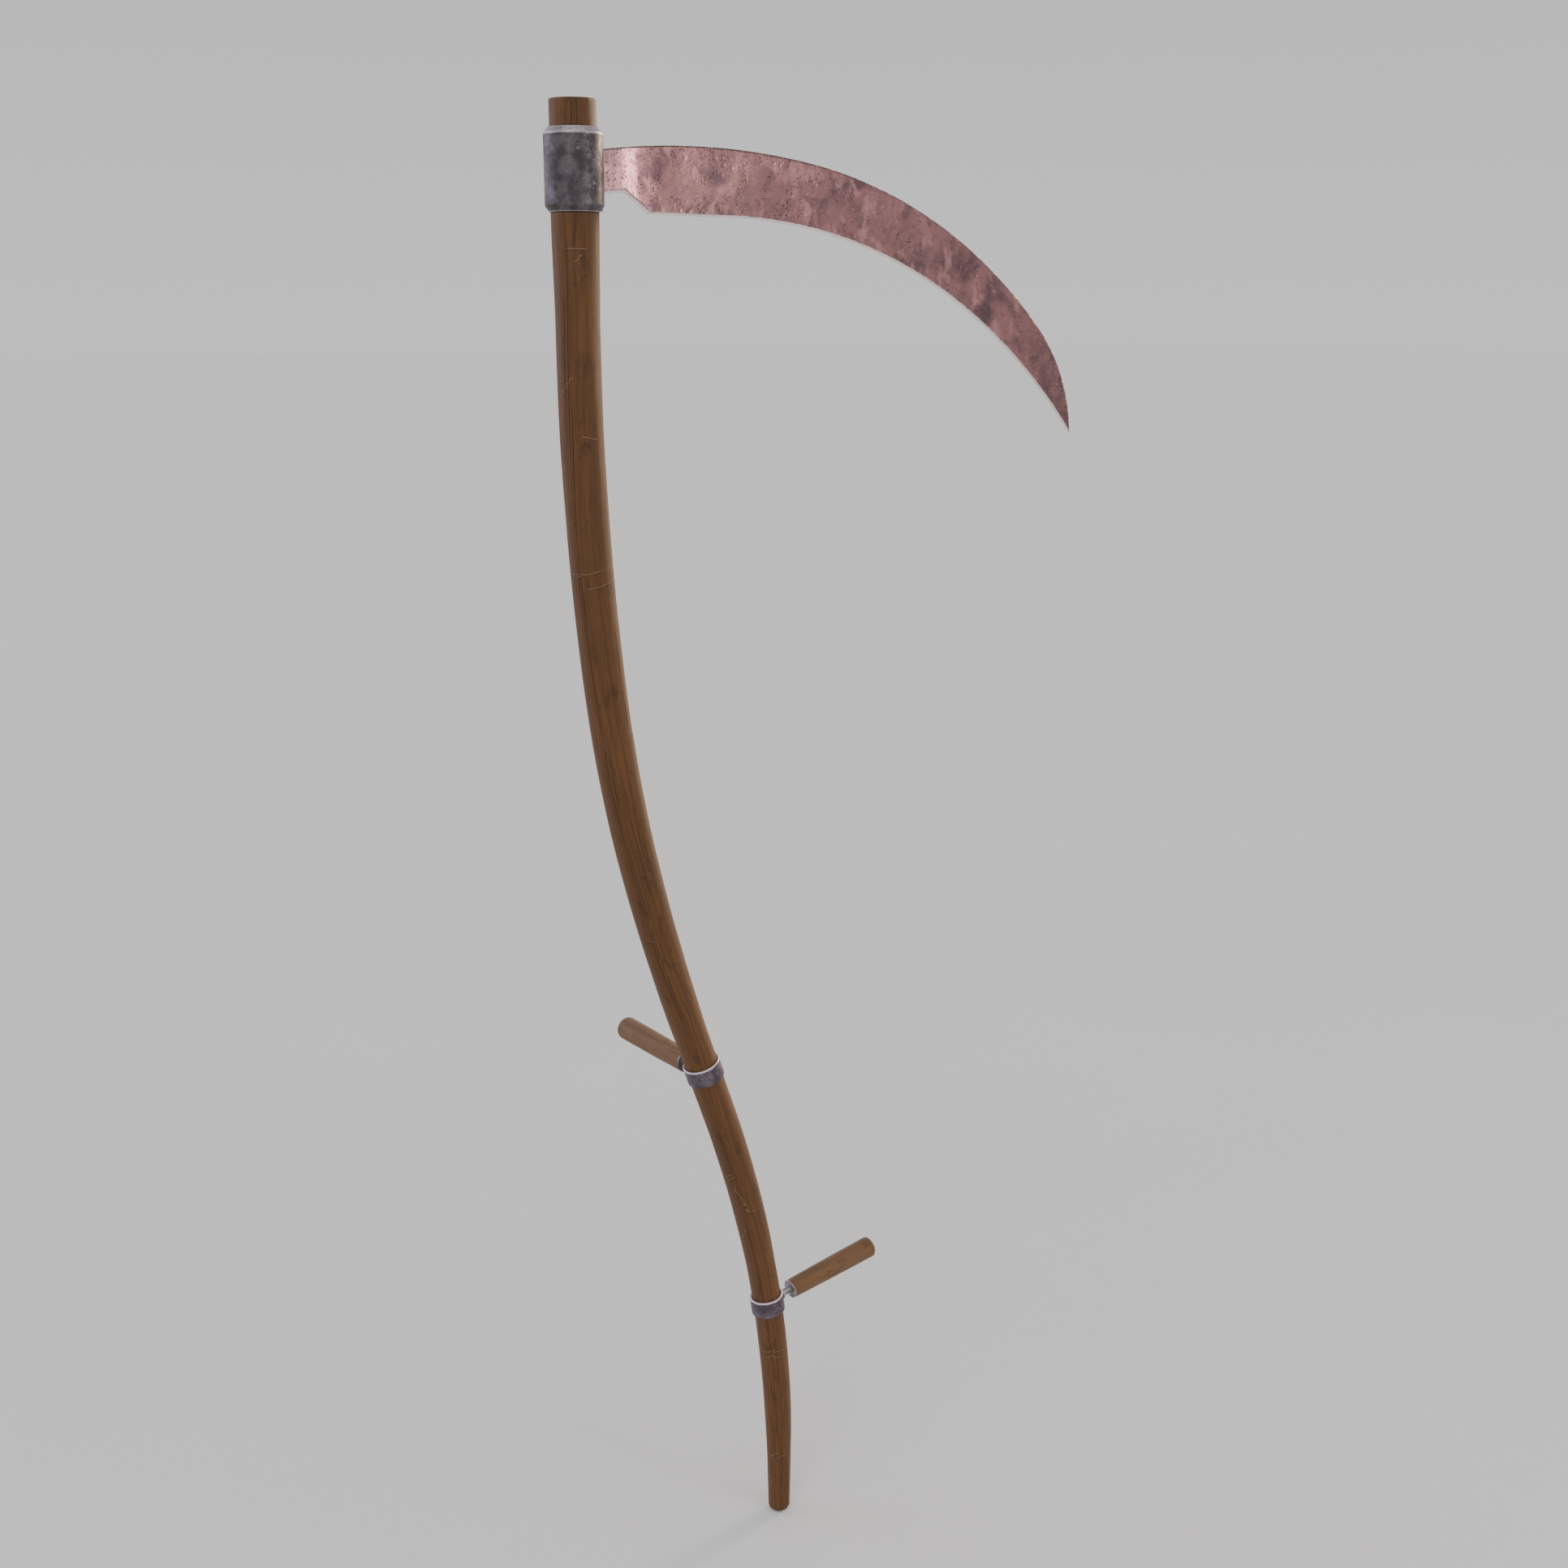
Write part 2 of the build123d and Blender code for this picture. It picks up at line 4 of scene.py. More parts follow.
import bmesh
import bpy
import numpy as np
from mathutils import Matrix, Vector


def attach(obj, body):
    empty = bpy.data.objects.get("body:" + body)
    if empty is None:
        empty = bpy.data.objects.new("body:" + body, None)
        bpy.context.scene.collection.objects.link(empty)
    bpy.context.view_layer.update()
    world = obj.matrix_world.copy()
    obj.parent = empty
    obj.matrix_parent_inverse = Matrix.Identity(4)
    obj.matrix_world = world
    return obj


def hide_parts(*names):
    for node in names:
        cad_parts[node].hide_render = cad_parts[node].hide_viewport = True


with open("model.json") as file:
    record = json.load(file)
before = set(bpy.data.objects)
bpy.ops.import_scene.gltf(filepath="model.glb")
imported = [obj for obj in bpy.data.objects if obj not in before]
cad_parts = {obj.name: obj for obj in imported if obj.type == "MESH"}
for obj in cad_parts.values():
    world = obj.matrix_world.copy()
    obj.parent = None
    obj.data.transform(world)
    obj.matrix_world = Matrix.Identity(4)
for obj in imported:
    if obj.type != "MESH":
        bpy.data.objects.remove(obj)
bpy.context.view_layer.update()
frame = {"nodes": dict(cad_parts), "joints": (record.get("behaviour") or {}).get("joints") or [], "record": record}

# Looks for a two-handed scythe. Metres, in the CAD frame: the origin is at the snath's butt, +Z is
# up to the blade's end and +X is the way the blade points. The snath and the blade are made here
# from the same driving sizes as the CAD. The collar, rings, stems, screws and grips are worn
# copies of their CAD nodes. The other nodes keep their CAD shape.

MM = 0.001
rng = np.random.default_rng(11)   # for the short cracks, then the knocks

# Snath, as in the CAD model
SNATH_HEIGHT = 1.648
BUTT_STRAIGHT = 0.068
LOWER_BEND_RADIUS = 1.425
LEAN = radians(19.5)
MIDDLE_STRAIGHT = 0.118
UPPER_BENDS = [(2.550, radians(4.5)), (1.580, radians(7.6)), (2.850, radians(7.4))]
BUTT_RADIUS = 0.0131
BUTT_ROUNDING = 0.008
STUB_RADIUS = 0.0230
STUB_ROUNDING = 0.0010
COLLAR_BOTTOM = 1.5430
COLLAR_TOP = 1.6225
SEAT_RADIUS = 0.0234
SHOULDER_RADIUS = 0.0238
SHOULDER_DEPTH = 0.004
LOWER_RING_TURN = radians(8.957)
LOWER_SEAT_HALF = 0.058
SHARP_STEP = 0.0001               # along the wood, across a step in its girth

# Blade, as in the CAD model. Reaches are from the snath's top axis.
NECK_START = 0.0254
NECK_BOTTOM = (0.0254, 1.5610)
NECK_STEP = (0.0552, 1.5636)
HEEL = (0.0834, 1.5434)
HEEL_TOP = 1.6089
SPINE_RISE = radians(4.2)
SPINE_ARCS = [(0.890, radians(13.2)), (0.608, radians(36.1)), (0.194, radians(41.3))]
EDGE_FALL = radians(0.4)
EDGE_STRAIGHT = 0.101
EDGE_ARC = (0.631, radians(31.2))
TIP_STOP = 0.996
BLADE_HALF = 0.0022
TIP_HALF = 0.0013
BACK_HALF = 0.0013
BACK_BEVEL = 0.0015
EDGE_BEVEL = 0.0030
EDGE_HALF = 0.00035
HEEL_SLOPE = 1.41                 # how much wider the bevel is, measured across the sloping heel

# Colours of the wood: body and stain
SNATH_COLORS = [(0.108, 0.0465, 0.0138, 1), (0.045, 0.0188, 0.0066, 1)]
GRIP_COLORS = [(0.168, 0.088, 0.040, 1), (0.080, 0.042, 0.021, 1)]
GRIP_CONTRAST = 0.6
CUT_WOOD = (0.30, 0.185, 0.105, 1)
PITH = (0.006, -0.009, 0)         # the tree's own centre, beside the snath's

# Colours of the blade
WARM_STEEL = (0.338, 0.172, 0.174, 1)
STAINED_STEEL = (0.138, 0.086, 0.096, 1)
PIT_COLOR = (0.042, 0.030, 0.030, 1)
GROUND_STEEL = (0.82, 0.70, 0.70, 1)
# Painted shade on the back's bevel, then a painted highlight along the very back
BACK_BEVEL_SHADE = (0.13, 0.10, 0.105, 1)
BACK_RIM_HIGHLIGHT = (0.72, 0.60, 0.60, 1)
GROUND_ROUGHNESS = 0.2

# Colours of the iron: body, lighter clouds, and bright metal for worn edges and for the painted highlights on the
# collar's top chamfer and the rings' upper rims
COLLAR_COLORS = [(0.062, 0.053, 0.060, 1), (0.118, 0.104, 0.115, 1), (0.44, 0.40, 0.43, 1)]
RING_COLORS = [(0.082, 0.064, 0.080, 1), (0.150, 0.124, 0.148, 1), (0.60, 0.55, 0.59, 1)]
HARDWARE_COLORS = [(0.20, 0.175, 0.188, 1), (0.36, 0.325, 0.345, 1), (0.58, 0.54, 0.57, 1)]

LEATHER_COLORS = [(0.035, 0.02, 0.011, 1), (0.075, 0.043, 0.024, 1)]
FLOOR_COLORS = [(0.703, 0.721, 0.729, 1), (0.721, 0.739, 0.747, 1)]
FLOOR_HALF = 60.0

# The pale surround: its colour, and its strength at the horizon and overhead
SURROUND_COLOR = (1.0, 0.985, 0.985, 1)
HORIZON, ZENITH = 0.80, 0.43
ZENITH_RISE = 0.7                 # how high a view direction points where ZENITH is reached

# Camera
CAMERA_PLACE = (-1.2136, -1.6807, 1.4521)
CAMERA_TURN = radians(-36.0)
CAMERA_PITCH = radians(-14.1)
CAMERA_LENS = 43.456              # mm, on a 36 mm sensor


# ---- numbers and meshes ----

HASH_FACTORS = (374761393, 668265263, 1274126177)  # large primes, which scramble a grid cell's place


def smooth_noise(points, scale, seed=0):
    """Smooth random values from -1 to 1 at points (n, 3), about 1 / scale metres apart."""
    spot = np.asarray(points) * scale + 31.7 * seed
    cell = np.floor(spot).astype(np.int64)
    part = spot - cell
    part = part * part * (3 - 2 * part)
    total = np.zeros(len(spot))
    for corner in np.ndindex(2, 2, 2):
        grid = (cell + corner) * HASH_FACTORS
        mixed = (grid.sum(1) + 97 * seed) & 0xFFFFFFFF
        mixed = ((mixed ^ (mixed >> 13)) * HASH_FACTORS[2]) & 0xFFFFFFFF
        value = (mixed ^ (mixed >> 16)) / 2 ** 31 - 1
        weight = np.prod(np.where(corner, part, 1 - part), axis=1)
        total += value * weight
    return total


def fade(low, high, value):
    """0 below low, 1 above high, smooth between."""
    share = np.clip((value - low) / (high - low), 0, 1)
    return share * share * (3 - 2 * share)


def make_piece(name, points, faces, smooth=True):
    """A new mesh object in the scene."""
    mesh = bpy.data.meshes.new(name)
    mesh.from_pydata(np.asarray(points).tolist(), [], faces)
    mesh.validate()
    mesh.polygons.foreach_set("use_smooth", [smooth] * len(mesh.polygons))
    piece = bpy.data.objects.new(name, mesh)
    bpy.context.scene.collection.objects.link(piece)
    return piece


def store(piece, name, values):
    """Keep one number or one vector for each vertex, for the materials to read."""
    values = np.asarray(values, np.float32)
    kind, field = ("FLOAT", "value") if values.ndim == 1 else ("FLOAT_VECTOR", "vector")
    piece.data.attributes.new(name, kind, "POINT").data.foreach_set(field, values.ravel())


def tube_faces(rows, columns):
    """Quads round a tube of points, row by row, and one face over each end."""
    row, column = np.meshgrid(np.arange(rows - 1), np.arange(columns), indexing="ij")
    here = row * columns + column
    beside = row * columns + (column + 1) % columns
    quads = np.stack([here, beside, beside + columns, here + columns], -1).reshape(-1, 4)
    first_end = list(range(columns))[::-1]
    last_end = [(rows - 1) * columns + k for k in range(columns)]
    return quads.tolist() + [first_end, last_end]


def settle_piece(piece, node, body, material):
    """Give a piece its material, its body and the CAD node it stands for."""
    piece.data.materials.append(material)
    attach(piece, body)
    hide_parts(node)


# ---- materials ----

class Paint:
    """A node material, written as a chain of small calls."""

    def __init__(self, name, metallic=0.0, roughness=0.5):
        self.material = bpy.data.materials.new(name)
        self.material.use_nodes = True
        self.tree = self.material.node_tree
        self.shader = self.tree.nodes["Principled BSDF"]
        self.shader.inputs["Metallic"].default_value = metallic
        self.shader.inputs["Roughness"].default_value = roughness

    def node(self, kind, inputs=(), **settings):
        made = self.tree.nodes.new(kind)
        for key, value in settings.items():
            setattr(made, key, value)
        for key, value in dict(inputs).items():
            if isinstance(value, bpy.types.NodeSocket):
                self.tree.links.new(value, made.inputs[key])
            else:
                made.inputs[key].default_value = value
        return made

    def attribute(self, name, output="Fac"):
        return self.node("ShaderNodeAttribute", attribute_name=name).outputs[output]

    def object_place(self):
        return self.node("ShaderNodeTexCoord").outputs["Object"]

    def stretched(self, vector, scale):
        return self.node("ShaderNodeMapping", {"Vector": vector, "Scale": scale}).outputs[0]

    def noise(self, vector, scale, detail=3.0, roughness=0.5, distortion=0.0):
        inputs = {"Vector": vector, "Scale": scale, "Detail": detail,
                  "Roughness": roughness, "Distortion": distortion}
        return self.node("ShaderNodeTexNoise", inputs).outputs[0]

    def cells(self, vector, scale):
        return self.node("ShaderNodeTexVoronoi", {"Vector": vector, "Scale": scale}).outputs["Distance"]

    def span(self, value, low, high, to_low=0.0, to_high=1.0):
        inputs = {0: value, 1: low, 2: high, 3: to_low, 4: to_high}
        return self.node("ShaderNodeMapRange", inputs, interpolation_type="SMOOTHSTEP").outputs[0]

    def math(self, operation, first, second=0.5):
        return self.node("ShaderNodeMath", {0: first, 1: second}, operation=operation).outputs[0]

    def times(self, first, second):
        return self.math("MULTIPLY", first, second)

    def centred_noise(self, vector, scale, detail, roughness, spread):
        """Noise from -spread / 2 to spread / 2."""
        inputs = {0: self.noise(vector, scale, detail, roughness), 1: spread, 2: -spread / 2}
        return self.node("ShaderNodeMath", inputs, operation="MULTIPLY_ADD").outputs[0]

    def mix(self, share, first, second):
        """A number part of the way from first to second."""
        return self.node("ShaderNodeMix", {0: share, 2: first, 3: second}).outputs[0]

    def blend(self, share, first, second):
        """A colour part of the way from first to second."""
        made = self.node("ShaderNodeMix", data_type="RGBA")
        for key, value in ((0, share), (6, first), (7, second)):
            if isinstance(value, bpy.types.NodeSocket):
                self.tree.links.new(value, made.inputs[key])
            else:
                made.inputs[key].default_value = value
        return made.outputs[2]

    def bump(self, height, strength, distance, under=None):
        inputs = {"Height": height, "Strength": strength, "Distance": distance}
        if under is not None:
            inputs["Normal"] = under
        return self.node("ShaderNodeBump", inputs).outputs[0]

    def finish(self, **sockets):
        for key, value in sockets.items():
            self.tree.links.new(value, self.shader.inputs[key.replace("_", " ")])
        return self.material


def shade(color, share):
    """The same colour, darker or lighter."""
    return tuple(share * part for part in color[:3]) + (1.0,)


def wood_paint(name, color, stain, contrast=1.0):
    """Old oiled wood, with painted shade in its cracks and under its cuts. Reads the piece's straight coordinates,
    with the grain along their Z.
    """
    paint = Paint(name)
    paint.shader.inputs["Specular IOR Level"].default_value = 0.3
    straight = paint.attribute("straight", "Vector")
    round_pith = {"Vector": straight, "Location": PITH, "Scale": (1, 1, 0.035)}
    rings = paint.node("ShaderNodeTexWave", {
        "Vector": paint.node("ShaderNodeMapping", round_pith).outputs[0],
        "Scale": 120, "Distortion": 9, "Detail": 3, "Detail Scale": 0.8, "Detail Roughness": 0.6,
    }, wave_type="RINGS", rings_direction="Z").outputs["Fac"]
    fibres = paint.noise(paint.stretched(straight, (1, 1, 0.02)), 1300, 3, 0.65)
    streaks = paint.noise(paint.stretched(straight, (1, 1, 0.03)), 330, 4, 0.6)
    tone = paint.noise(paint.stretched(straight, (1, 1, 0.12)), 34, 3, 0.55)
    patches = paint.noise(paint.stretched(straight, (1, 1, 0.4)), 62, 4, 0.62, 0.7)
    specks = paint.noise(paint.stretched(straight, (1, 1, 0.35)), 620, 2, 0.5)
    lines = paint.noise(paint.stretched(straight, (1, 1, 0.014)), 420, 2, 0.5)
    line = paint.span(paint.math("ABSOLUTE", paint.math("SUBTRACT", lines, 0.5)), 0.009, 0.001)
    line = paint.times(line, paint.span(tone, 0.45, 0.62, 0.0, 0.6))

    light, dark = shade(color, 1 + 0.2 * contrast), shade(color, 1 - 0.12 * contrast)
    wood = paint.blend(paint.span(rings, 0.1, 0.9), dark, light)
    wood = paint.blend(paint.span(streaks, 0.36, 0.64, 0.0, 0.35), wood, light)
    fibre_color = shade(color, 1 - 0.55 * contrast)
    wood = paint.blend(paint.span(fibres, 0.42, 0.66, 0.0, 0.4), wood, fibre_color)
    wood = paint.blend(paint.span(tone, 0.4, 0.66, 0.0, 0.45), wood, shade(color, 0.72))
    wood = paint.blend(paint.span(patches, 0.54, 0.74, 0.0, 0.62), wood, stain)
    spotted = paint.times(paint.span(specks, 0.62, 0.7), paint.span(patches, 0.44, 0.62, 0.15, 0.8))
    wood = paint.blend(spotted, wood, shade(stain, 0.45))
    wood = paint.blend(line, wood, shade(stain, 0.4))
    wood = paint.blend(paint.times(paint.attribute("cut"), 0.6), wood, CUT_WOOD)
    # Painted shade: the cracks darken with their depth, and a dark line lies under each knife cut.
    wood = paint.blend(paint.attribute("crack"), wood, shade(stain, 0.22))

    rough = paint.span(streaks, 0.3, 0.7, 0.5, 0.64)
    grained = paint.bump(paint.math("SUBTRACT", streaks, line), 0.45, 0.0005)
    pitted = paint.bump(paint.times(spotted, -1.0), 0.6, 0.0003, grained)
    normal = paint.bump(fibres, 0.5, 0.0004, pitted)
    return paint.finish(Base_Color=wood, Roughness=rough, Normal=normal)


def blade_paint():
    """Forged steel: cloudy stains, clusters of small pits, bursts of scratches, bright ground bevels, painted
    highlights in pink blooms and along the back, and painted shade on the back's bevel, the neck and towards the
    tip.
    """
    paint = Paint("blade_steel", metallic=1.0)
    place = paint.attribute("flat", "Vector")
    clouds = paint.noise(place, 27, 4, 0.58, 0.3)
    mottle = paint.noise(place, 95, 5, 0.62)
    grain = paint.noise(place, 1500, 3, 0.6)
    clusters = paint.noise(paint.stretched(place, (1.6, 0.7, 1)), 52, 4, 0.65)
    pit_noise = paint.noise(place, 820, 2, 0.55)
    coarse_noise = paint.noise(place, 400, 3, 0.6)
    slant = {"Vector": place, "Rotation": (0, 0, radians(55)), "Scale": (1, 6, 1)}
    slanted = paint.node("ShaderNodeMapping", slant, vector_type="TEXTURE").outputs[0]
    strokes = paint.noise(slanted, 560, 3, 0.6, 0.3)
    bursts = paint.noise(paint.stretched(place, (1, 1, 1.7)), 58, 2, 0.5)
    highlight_blooms = paint.noise(paint.stretched(place, (1.5, 0.8, 1)), 34, 4, 0.6, 0.4)

    # A darker stain colour, used for the mottle and for the painted shade towards the tip
    dark_stain_and_shade = shade(STAINED_STEEL, 0.8)
    steel = paint.blend(paint.span(clouds, 0.40, 0.70), WARM_STEEL, STAINED_STEEL)
    steel = paint.blend(paint.span(mottle, 0.5, 0.68, 0.0, 0.35), steel, dark_stain_and_shade)
    # Painted highlight: lighter pink blooms stand in for patchy reflections on the steel.
    steel = paint.blend(paint.span(highlight_blooms, 0.50, 0.66, 0.0, 0.65), steel, shade(WARM_STEEL, 1.6))
    # Painted shade: the blade darkens towards the tip, where the key light's reflection fades.
    tip_shade = paint.span(paint.attribute("reach"), 0.7, 1.0, 0.0, 0.5)
    steel = paint.blend(tip_shade, steel, dark_stain_and_shade)
    uneven = paint.math("ADD", paint.cells(place, 310), paint.times(pit_noise, 0.6))
    fine = paint.times(paint.span(clusters, 0.46, 0.56), paint.span(uneven, 0.55, 0.47))
    coarse = paint.times(paint.span(clusters, 0.53, 0.62), paint.span(coarse_noise, 0.6, 0.65))
    dust = paint.times(paint.span(clusters, 0.5, 0.6), paint.span(grain, 0.58, 0.66, 0.0, 0.7))
    pits = paint.math("MAXIMUM", paint.math("MAXIMUM", fine, coarse), dust)
    steel = paint.blend(paint.times(pits, 0.9), steel, PIT_COLOR)
    marks = paint.times(paint.span(strokes, 0.56, 0.68), paint.span(bursts, 0.54, 0.64))
    steel = paint.blend(paint.times(marks, 0.22), steel, shade(WARM_STEEL, 1.3))
    # Painted shade: the neck is darkened, as it faces away from the key light.
    steel = paint.blend(paint.times(paint.attribute("neck"), 0.45), steel, STAINED_STEEL)

    ragged = paint.centred_noise(place, 330, 4, 0.75, 0.0036)
    edge = paint.math("ADD", paint.attribute("edge_distance"), ragged)
    ground = paint.span(edge, EDGE_BEVEL * 0.95, EDGE_BEVEL * 0.7)
    steel = paint.blend(ground, steel, GROUND_STEEL)
    back = paint.attribute("back_distance")
    # Painted shade darkens the back's bevel; a painted highlight runs along the very back.
    steel = paint.blend(paint.span(back, 0.0019, 0.0012, 0.0, 0.7), steel, BACK_BEVEL_SHADE)
    steel = paint.blend(paint.span(back, 0.0007, 0.0003, 0.0, 0.75), steel, BACK_RIM_HIGHLIGHT)

    rough = paint.mix(ground, paint.span(clouds, 0.4, 0.65, 0.19, 0.29), GROUND_ROUGHNESS)
    rolled = paint.bump(coarse_noise, 0.2, 0.0004)
    scored = paint.bump(marks, 0.3, 0.0003, rolled)
    dented = paint.bump(paint.times(pits, -1.0), 0.9, 0.0005, scored)
    normal = paint.bump(grain, 0.16, 0.0003, dented)
    return paint.finish(Base_Color=steel, Roughness=rough, Normal=normal)


def iron_paint(name, color, light, wear_and_highlight_color, wear_and_highlight_share):
    """Dark forged iron with cloudy scale, small dents, and bright edges, rubbed bare and, on the collar and rings,
    painted highlight too.
    """
    paint = Paint(name, metallic=0.75)
    place = paint.object_place()
    clouds = paint.noise(place, 70, 3, 0.5, 0.2)
    mottle = paint.noise(place, 240, 4, 0.65)
    pit_noise = paint.noise(place, 760, 2, 0.55)
    clusters = paint.noise(place, 85, 3, 0.6)
    pits = paint.times(paint.span(pit_noise, 0.61, 0.67), paint.span(clusters, 0.54, 0.64))
    iron = paint.blend(paint.span(clouds, 0.4, 0.66), color, light)
    iron = paint.blend(paint.span(mottle, 0.44, 0.7, 0.0, 0.5), iron, shade(color, 0.7))
    rubbed = paint.times(paint.span(clusters, 0.56, 0.68), paint.span(mottle, 0.5, 0.66))
    iron = paint.blend(paint.times(rubbed, 0.5), iron, wear_and_highlight_color)
    broken = paint.centred_noise(place, 380, 3, 0.7, 0.9)
    wear_and_highlight = paint.math("ADD", paint.attribute("wear_and_highlight"), broken)
    # Bright metal on rubbed edges, and on the collar and rings the painted highlight of their top rims.
    iron = paint.blend(paint.span(wear_and_highlight, 0.3, 0.7, 0.0, wear_and_highlight_share), iron, wear_and_highlight_color)
    iron = paint.blend(paint.times(pits, 0.7), iron, shade(color, 0.35))
    rough = paint.span(mottle, 0.3, 0.7, 0.36, 0.54)
    rolled = paint.bump(mottle, 0.35, 0.0006)
    normal = paint.bump(paint.times(pits, -1.0), 0.8, 0.0004, rolled)
    return paint.finish(Base_Color=iron, Roughness=rough, Normal=normal)


def leather_paint():
    """Dark greased leather of the packings."""
    paint = Paint("packing_leather", roughness=0.75)
    place = paint.object_place()
    tone = paint.span(paint.noise(place, 140, 3), 0.4, 0.65)
    pores = paint.bump(paint.cells(place, 900), 0.4, 0.0004)
    return paint.finish(Base_Color=paint.blend(tone, *LEATHER_COLORS), Normal=pores)


def floor_paint():
    """Plain, dull and pale."""
    paint = Paint("studio_floor", roughness=0.9)
    paint.shader.inputs["Specular IOR Level"].default_value = 0.0
    tone = paint.span(paint.noise(paint.object_place(), 0.8, 2), 0.3, 0.7)
    return paint.finish(Base_Color=paint.blend(tone, *FLOOR_COLORS))


# ---- snath ----

def make_course():
    """Centreline pieces as (length, signed radius or None). The last straight has no end."""
    lower_bend = (LOWER_BEND_RADIUS * LEAN, LOWER_BEND_RADIUS)
    upper_bends = [(radius * turn, -radius) for radius, turn in UPPER_BENDS]
    return [(BUTT_STRAIGHT, None), lower_bend, (MIDDLE_STRAIGHT, None), *upper_bends, (inf, None)]


def centreline(along):
    """X, Z and lean of the snath's centreline, for an array of distances along it."""
    along = np.asarray(along, float)
    x, z, lean_now = np.zeros_like(along), np.zeros_like(along), np.zeros_like(along)
    start = lean = 0.0
    for length, radius in make_course():
        step = np.clip(along - start, 0, length)
        if radius is None:
            x -= step * sin(lean)
            z += step * cos(lean)
        else:
            x += radius * (np.cos(lean + step / radius) - cos(lean))
            z += radius * (np.sin(lean + step / radius) - sin(lean))
            lean_now += step / radius
            lean += length / radius
        start += length
    return x, z, lean_now


def along_at(height):
    """Distance along the centreline at a height on the straight top."""
    straight_start = sum(length for length, _ in make_course()[:-1])
    return straight_start + height - float(centreline([straight_start])[1][0])


SNATH_LENGTH = along_at(SNATH_HEIGHT)
TOP_X = float(centreline([SNATH_LENGTH])[0][0])
MIDDLE_START = BUTT_STRAIGHT + LOWER_BEND_RADIUS * LEAN
MIDDLE_END = MIDDLE_START + MIDDLE_STRAIGHT
LOWER_RING = BUTT_STRAIGHT + LOWER_BEND_RADIUS * LOWER_RING_TURN
LOWER_SEAT = (LOWER_RING - LOWER_SEAT_HALF, LOWER_RING + LOWER_SEAT_HALF)
SHOULDER = along_at(COLLAR_BOTTOM)
SEAT_END = along_at(COLLAR_TOP)

# Radius of the wood: (distance along, radius)
GIRTH = [
    (BUTT_STRAIGHT, 0.0144), (0.104, 0.0155), (0.138, 0.0163), (0.172, 0.0168),
    (LOWER_SEAT[0], 0.0173), (LOWER_SEAT[1], 0.0173), (0.400, 0.0181), (0.480, 0.0186),
    (MIDDLE_START, 0.0192), (MIDDLE_END, 0.0192), (0.730, 0.0201), (0.870, 0.0211),
    (1.000, 0.0218), (1.120, 0.0221), (1.4763, 0.0222), (SHOULDER - SHOULDER_DEPTH, SHOULDER_RADIUS),
    (SHOULDER - SHARP_STEP, SHOULDER_RADIUS), (SHOULDER, SEAT_RADIUS),
    (SEAT_END - SHARP_STEP, SEAT_RADIUS), (SEAT_END, STUB_RADIUS),
]

# How far the grain winds round the snath: (distance along, degrees)
GRAIN_TURN = [
    (0.0, 8), (0.10, 13), (0.41, 5), (0.52, -3), (0.70, 16), (0.80, 5), (1.05, -2),
    (1.25, -17), (1.40, -4), (1.55, 2), (1.70, 0),
]

# Long drying cracks: (degrees round, from, to, depth), metres along the snath
LONG_CRACKS = [
    (-145, 0.085, 0.62, 0.0009), (-145, 0.64, 1.13, 0.0011), (-145, 1.11, 1.553, 0.0009),
    (-137, 0.36, 0.56, 0.0006), (-137, 0.70, 1.02, 0.0008), (-137, 1.16, 1.36, 0.0007),
    (-156, 0.78, 0.98, 0.0006), (-156, 1.22, 1.50, 0.0007), (-111, 1.60, 1.70, 0.0013),
    (-124, 0.03, 0.16, 0.0007), (-124, 1.63, 1.70, 0.0007), (-98, 1.04, 1.16, 0.0006),
]
CRACK_COLUMNS = [-172, -156, -145, -137, -124, -111, -98, -62, -15, 30, 74, 118, 151]
CRACK_HALF_WIDTH = 0.00045
CRACK_ROOM = 1.6                  # half widths beside a crack that are kept clear of other columns
CRACK_EASE = 0.02                 # over which a crack deepens from its end
CRACKED_RADIUS = (0.004, 0.012)   # on the end faces, over which the cracks open from the middle out
DARK_CRACK = 0.0006               # a crack this deep is painted quite dark, as shade

# Short cracks at random, with the least and the most of each measure
SHORT_CRACKS = 40
SHORT_CRACK_START = (0.03, 1.5)
SHORT_CRACK_LENGTH = (0.03, 0.15)
SHORT_CRACK_DEPTH = (0.0002, 0.0005)

# Knife cuts and scratches: from and to as (mm along, degrees round), and depth in mm
CUTS = [
    ((1221, -190), (1221, -138), 0.45), ((1219, -158), (1222, -112), 0.5),
    ((1222, -112), (1226, -50), 0.6), ((1226, -50), (1229, 5), 0.5),
    ((1206, -134), (1207, -104), 0.5), ((1207, -104), (1211, -50), 0.6), ((1211, -50), (1215, -5), 0.4),
    ((1538, -142), (1538, -98), 0.3), ((1526, -122), (1528, -112), 0.35), ((1528, -112), (1532, -108), 0.35),
    ((1477, -80), (1473, -66), 0.45), ((1415, -140), (1402, -168), 0.4), ((1358, -116), (1355, -80), 0.5),
    ((811, -154), (809, -132), 0.45), ((480, -178), (486, -152), 0.45), ((478, -164), (483, -136), 0.45),
    ((471, -142), (460, -144), 0.4), ((460, -144), (449, -134), 0.4), ((449, -134), (432, -122), 0.35),
    ((432, -122), (429, -92), 0.35), ((394, -168), (407, -146), 0.5),
    ((228, -172), (232, -121), 0.45), ((230, -118), (227, -56), 0.5),
    ((221, -162), (224, -121), 0.45), ((222, -118), (218, -52), 0.5),
    ((77, -176), (85, -136), 0.5), ((78, -132), (82, -98), 0.5),
    ((1120, 40), (1125, 85), 0.45), ((985, 140), (983, 170), 0.45), ((700, 95), (706, 130), 0.45),
    ((1330, 10), (1334, 55), 0.45), ((360, 60), (357, 105), 0.4), ((225, 60), (229, 120), 0.45),
]
CUT_WIDTH = 0.00042
CUT_MARGIN = 0.003                # past a cut's ends, where its groove has died away

